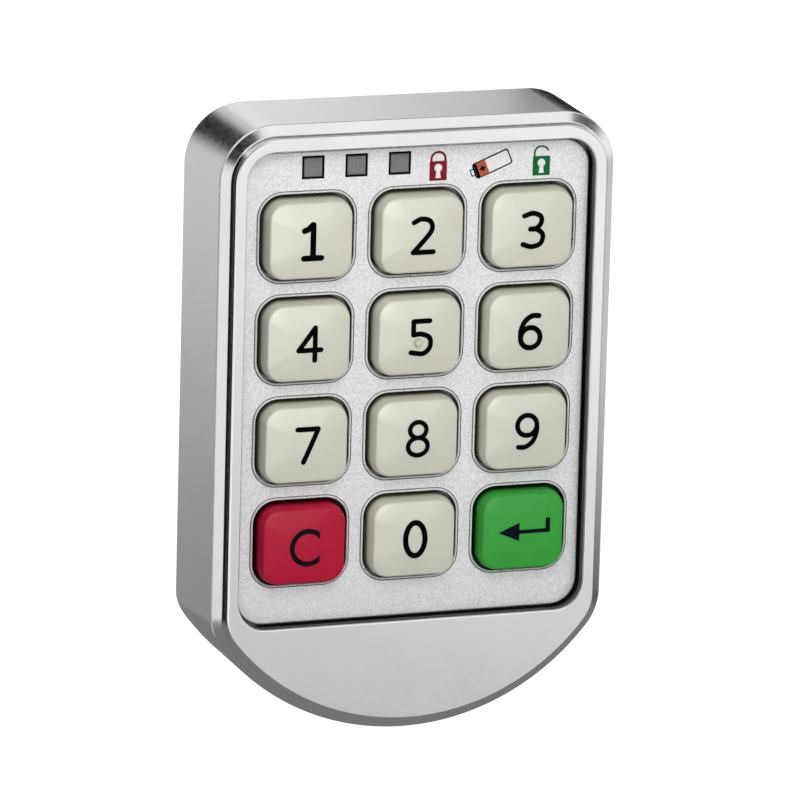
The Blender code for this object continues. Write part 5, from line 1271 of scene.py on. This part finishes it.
def thread_at(reach):
    """The thread's radius round the barrel, at a distance behind the door's face."""

    def radius_at(angle):
        phase = (reach / THREAD_PITCH - angle / math.tau) % 1.0
        cut = min(1.0, max(0.0, abs(phase - 0.5) * THREAD_FLANK - THREAD_ROOT))
        fade = min(1.0, (reach - THREAD_START) / THREAD_PITCH, (THREAD_END - reach) / THREAD_PITCH)
        return BARREL_RADIUS - THREAD_DEPTH * (1.0 - cut) * max(0.0, fade)

    return radius_at


plain, bore = ring_of(BARREL_RADIUS, BARREL_FLAT), ring_of(BARREL_BORE)
flange = ring_of(FLANGE_RADIUS)
rings = [(bore, FLANGE_FRONT), (flange, FLANGE_FRONT), (flange, FLANGE_REAR), (plain, FLANGE_REAR)]
reach = THREAD_START
while reach <= THREAD_END:
    rings.append((flatted(thread_at(reach), BARREL_FLAT), -reach))
    reach += THREAD_PITCH / THREAD_STEPS
rings += [(plain, -THREAD_END), (ring_of(BARREL_END_RADIUS, BARREL_END_FLAT), -BARREL_END)]
rings += [(ring_of(BARREL_BORE + BORE_EDGE), -BARREL_END), (bore, -BARREL_END + BORE_EDGE)]
bm = bmesh.new()
add_skin(bm, rings, closed=True)
shell_piece("threaded_barrel", bm, [nickel], "lock_body", ["barrel"], 28.0)


# Nut and washer: a chamfered hexagon nut and a washer on the barrel clamp the door against the
# body. Both are steel, and the nut is nickel plated like the barrel.
NUT_HALF = 0.0120
NUT_NEAR = 0.0140
NUT_FAR = 0.0190
NUT_BORE = 0.0094
NUT_BORE_EDGE = 0.0005
# Where the nut's corners are turned down to, past its flats, and how far behind its end.
NUT_CORNERS = ((-0.0002, 0.0), (0.0006, 0.0003), (0.0013, 0.0006), (0.0019, 0.0009))
WASHER_NEAR = 0.01275
WASHER_FAR = 0.01375
WASHER_RADIUS = 0.0125
WASHER_EDGE = 0.0002
WASHER_GAP = 0.0001


def hexagon(limit):
    """A hexagon whose corners are turned down to a limit."""
    side = math.pi / 3
    return flatted(lambda angle: min(NUT_HALF / math.cos(angle % side - side / 2), limit), NO_FLAT)


def add_round(name, rings, material, node, sharp):
    """A closed piece round the barrel, from rings of (outline, distance behind the door)."""
    bm = bmesh.new()
    add_skin(bm, [(line, -reach) for line, reach in rings], closed=True)
    shell_piece(name, bm, [material], "lock_body", [node], sharp)


rings = []
for face, inward in ((NUT_NEAR, 1), (NUT_FAR, -1)):
    side = [(ring_of(NUT_BORE), face + inward * NUT_BORE_EDGE)]
    side.append((ring_of(NUT_BORE + NUT_BORE_EDGE), face))
    side += [(hexagon(NUT_HALF + past), face + inward * behind) for past, behind in NUT_CORNERS]
    rings += side[::inward]
add_round("door_nut", rings, nickel, "mounting_nut", 25.0)

washer_bore = ring_of(BARREL_RADIUS + WASHER_GAP, BARREL_FLAT + WASHER_GAP)
washer_face, washer_side = ring_of(WASHER_RADIUS - WASHER_EDGE), ring_of(WASHER_RADIUS)
rings = [(washer_bore, WASHER_NEAR), (washer_face, WASHER_NEAR)]
rings += [(washer_side, WASHER_NEAR + WASHER_EDGE), (washer_side, WASHER_FAR - WASHER_EDGE)]
rings += [(washer_face, WASHER_FAR), (washer_bore, WASHER_FAR)]
add_round("door_washer", rings, screw_steel, "mounting_washer", 40.0)


# Cam: a pressed steel cam on the spindle's square end, held by a screw with a domed head. The
# cam is zinc plated and its screw nickel plated.
CAM_NEAR = 0.02025
CAM_FAR = 0.02275
CAM_LENGTH = 0.0400
CAM_HALF_WIDTH = 0.0090
CAM_HEAD_RADIUS = 0.0100
CAM_TIP_RADIUS = 0.0030
CAM_EDGE = 0.0003
CAM_HOLE_HALF = 0.0031
CAM_HOLE_CORNER = 0.0006
CAM_SCREW_SHANK = 0.0018
CAM_SCREW_NEAR = 0.0230
CAM_SCREW_TOP = 0.0250
# The screw's head from its underside to the edge of its flat top: radius and rise.
CAM_SCREW_DOME = (
    (0.0050, 0.0),
    (0.0050, 0.0008),
    (0.00485, 0.0012),
    (0.0045, 0.00155),
    (0.0039, 0.00183),
    (0.0030, 0.00200),
)
CAM_SCREW_SLOT = (0.0019, 0.00042)
CAM_SCREW_SLOT_DEPTH = 0.0009

cam_steel = finish(
    "zinc_plated_steel", (0.58, 0.58, 0.57), (0.46, 0.46, 0.47), 1.0, (0.28, 0.44),
    cloud_size=0.005, grain_size=0.0004, stretch=0.3, bump=0.15, edge_colour=(0.82, 0.82, 0.80),
)


def cam_line(inset):
    tip_x, tip_z = CAM_LENGTH - CAM_TIP_RADIUS, CAM_HALF_WIDTH - CAM_TIP_RADIUS
    head, half = CAM_HEAD_RADIUS - inset, CAM_HALF_WIDTH - inset
    turn = math.asin(half / head)
    line = arc(0.0, 0.0, head, turn, math.tau - turn, 72)
    line += arc(tip_x, -tip_z, CAM_TIP_RADIUS - inset, -math.pi / 2, 0.0, 10)
    return line + arc(tip_x, tip_z, CAM_TIP_RADIUS - inset, 0.0, math.pi / 2, 10)


rings = [(cam_line(CAM_EDGE * (1 - s)), CAM_NEAR + CAM_EDGE * (1 - c)) for s, c in quarter(3)]
rings += [(cam_line(CAM_EDGE * (1 - c)), CAM_FAR - CAM_EDGE * (1 - s)) for s, c in quarter(3)]
hole = round_box(CAM_HOLE_HALF, CAM_HOLE_HALF, CAM_HOLE_CORNER, steps=4)
bm = bmesh.new()
add_skin(bm, [(line, -reach) for line, reach in rings])
add_flat(bm, -CAM_NEAR, rings[0][0], [hole])
add_flat(bm, -CAM_FAR, rings[-1][0], [hole])
add_skin(bm, [(hole, -CAM_NEAR), (hole, -CAM_FAR)])
shell_piece("cam_plate", bm, [cam_steel], "cam_drive", ["cam"])

slot_line = cross_line(0.0, 0.0, *CAM_SCREW_SLOT)
slot_floor = CAM_SCREW_SLOT_DEPTH - CAM_SCREW_TOP
shank_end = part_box("cam_screw")[0].y
shank = circle(CAM_SCREW_SHANK)
rings = [(shank, -shank_end), (shank, -CAM_SCREW_NEAR)]
rings += [(circle(radius), -CAM_SCREW_NEAR - rise) for radius, rise in CAM_SCREW_DOME]
bm = bmesh.new()
add_skin(bm, rings)
add_flat(bm, -shank_end, shank)
add_flat(bm, -CAM_SCREW_TOP, rings[-1][0], [slot_line])
add_skin(bm, [(slot_line, -CAM_SCREW_TOP), (slot_line, slot_floor)])
add_flat(bm, slot_floor, slot_line)
shell_piece("cam_head_screw", bm, [nickel], "cam_drive", ["cam_screw"])
dress(screw_steel, "spindle")


# Inside: the board and what is soldered to it, the silicone mat, the motor with its leads,
# the gears on their pins, and two coin cells in their tray.
INSIDE = (
    ("board_lacquer", (0.01, 0.085, 0.03), (0.014, 0.12, 0.04), 0.0, (0.25, 0.4), 0.002),
    ("grey_silicone", (0.30, 0.30, 0.31), (0.36, 0.36, 0.37), 0.0, (0.5, 0.7), 0.003),
    ("white_moulding", (0.72, 0.71, 0.68), (0.66, 0.65, 0.62), 0.0, (0.35, 0.5), 0.002),
    ("gear_nylon", (0.78, 0.76, 0.70), (0.70, 0.68, 0.62), 0.0, (0.35, 0.5), 0.002),
    ("cut_brass", (0.72, 0.48, 0.18), (0.60, 0.38, 0.13), 1.0, (0.22, 0.36), 0.002),
    ("contact_steel", (0.60, 0.59, 0.55), (0.50, 0.49, 0.46), 1.0, (0.24, 0.36), 0.002),
    ("cell_steel", (0.70, 0.70, 0.69), (0.62, 0.62, 0.61), 1.0, (0.18, 0.30), 0.004),
    ("red_lead", (0.40, 0.010, 0.012), (0.34, 0.008, 0.010), 0.0, (0.4, 0.55), 0.002),
    ("black_lead", (0.015, 0.015, 0.015), (0.025, 0.025, 0.025), 0.0, (0.4, 0.55), 0.002),
)
inside_look = {
    name: finish(name, main, other, metal, rough, cloud_size=cloud_size)
    for name, main, other, metal, rough, cloud_size in INSIDE
}
dress(inside_look["board_lacquer"], "circuit_board")
dress(inside_look["grey_silicone"], "key_mat")
dress(inside_look["white_moulding"], "motor_plug")
dress(inside_look["gear_nylon"], "first_gear", "second_gear")
dress(inside_look["cut_brass"], "output_gear", "motor_pinion")
dress(inside_look["contact_steel"], "cell_link_strip", "contact_strip_left", "contact_strip_right")
dress(inside_look["cell_steel"], "gear_motor", "coin_cell_left", "coin_cell_right")
dress(inside_look["red_lead"], "motor_wire_red")
dress(inside_look["black_lead"], "motor_wire_black")
dress(black_plastic, "controller_chip", "buzzer", "battery_tray")
dress(zinc_plate, "gear_plate")
board_screws = [f"board_screw_{index}" for index in range(1, 5)]
dress(screw_steel, "gear_pin_1", "gear_pin_2", *board_screws)
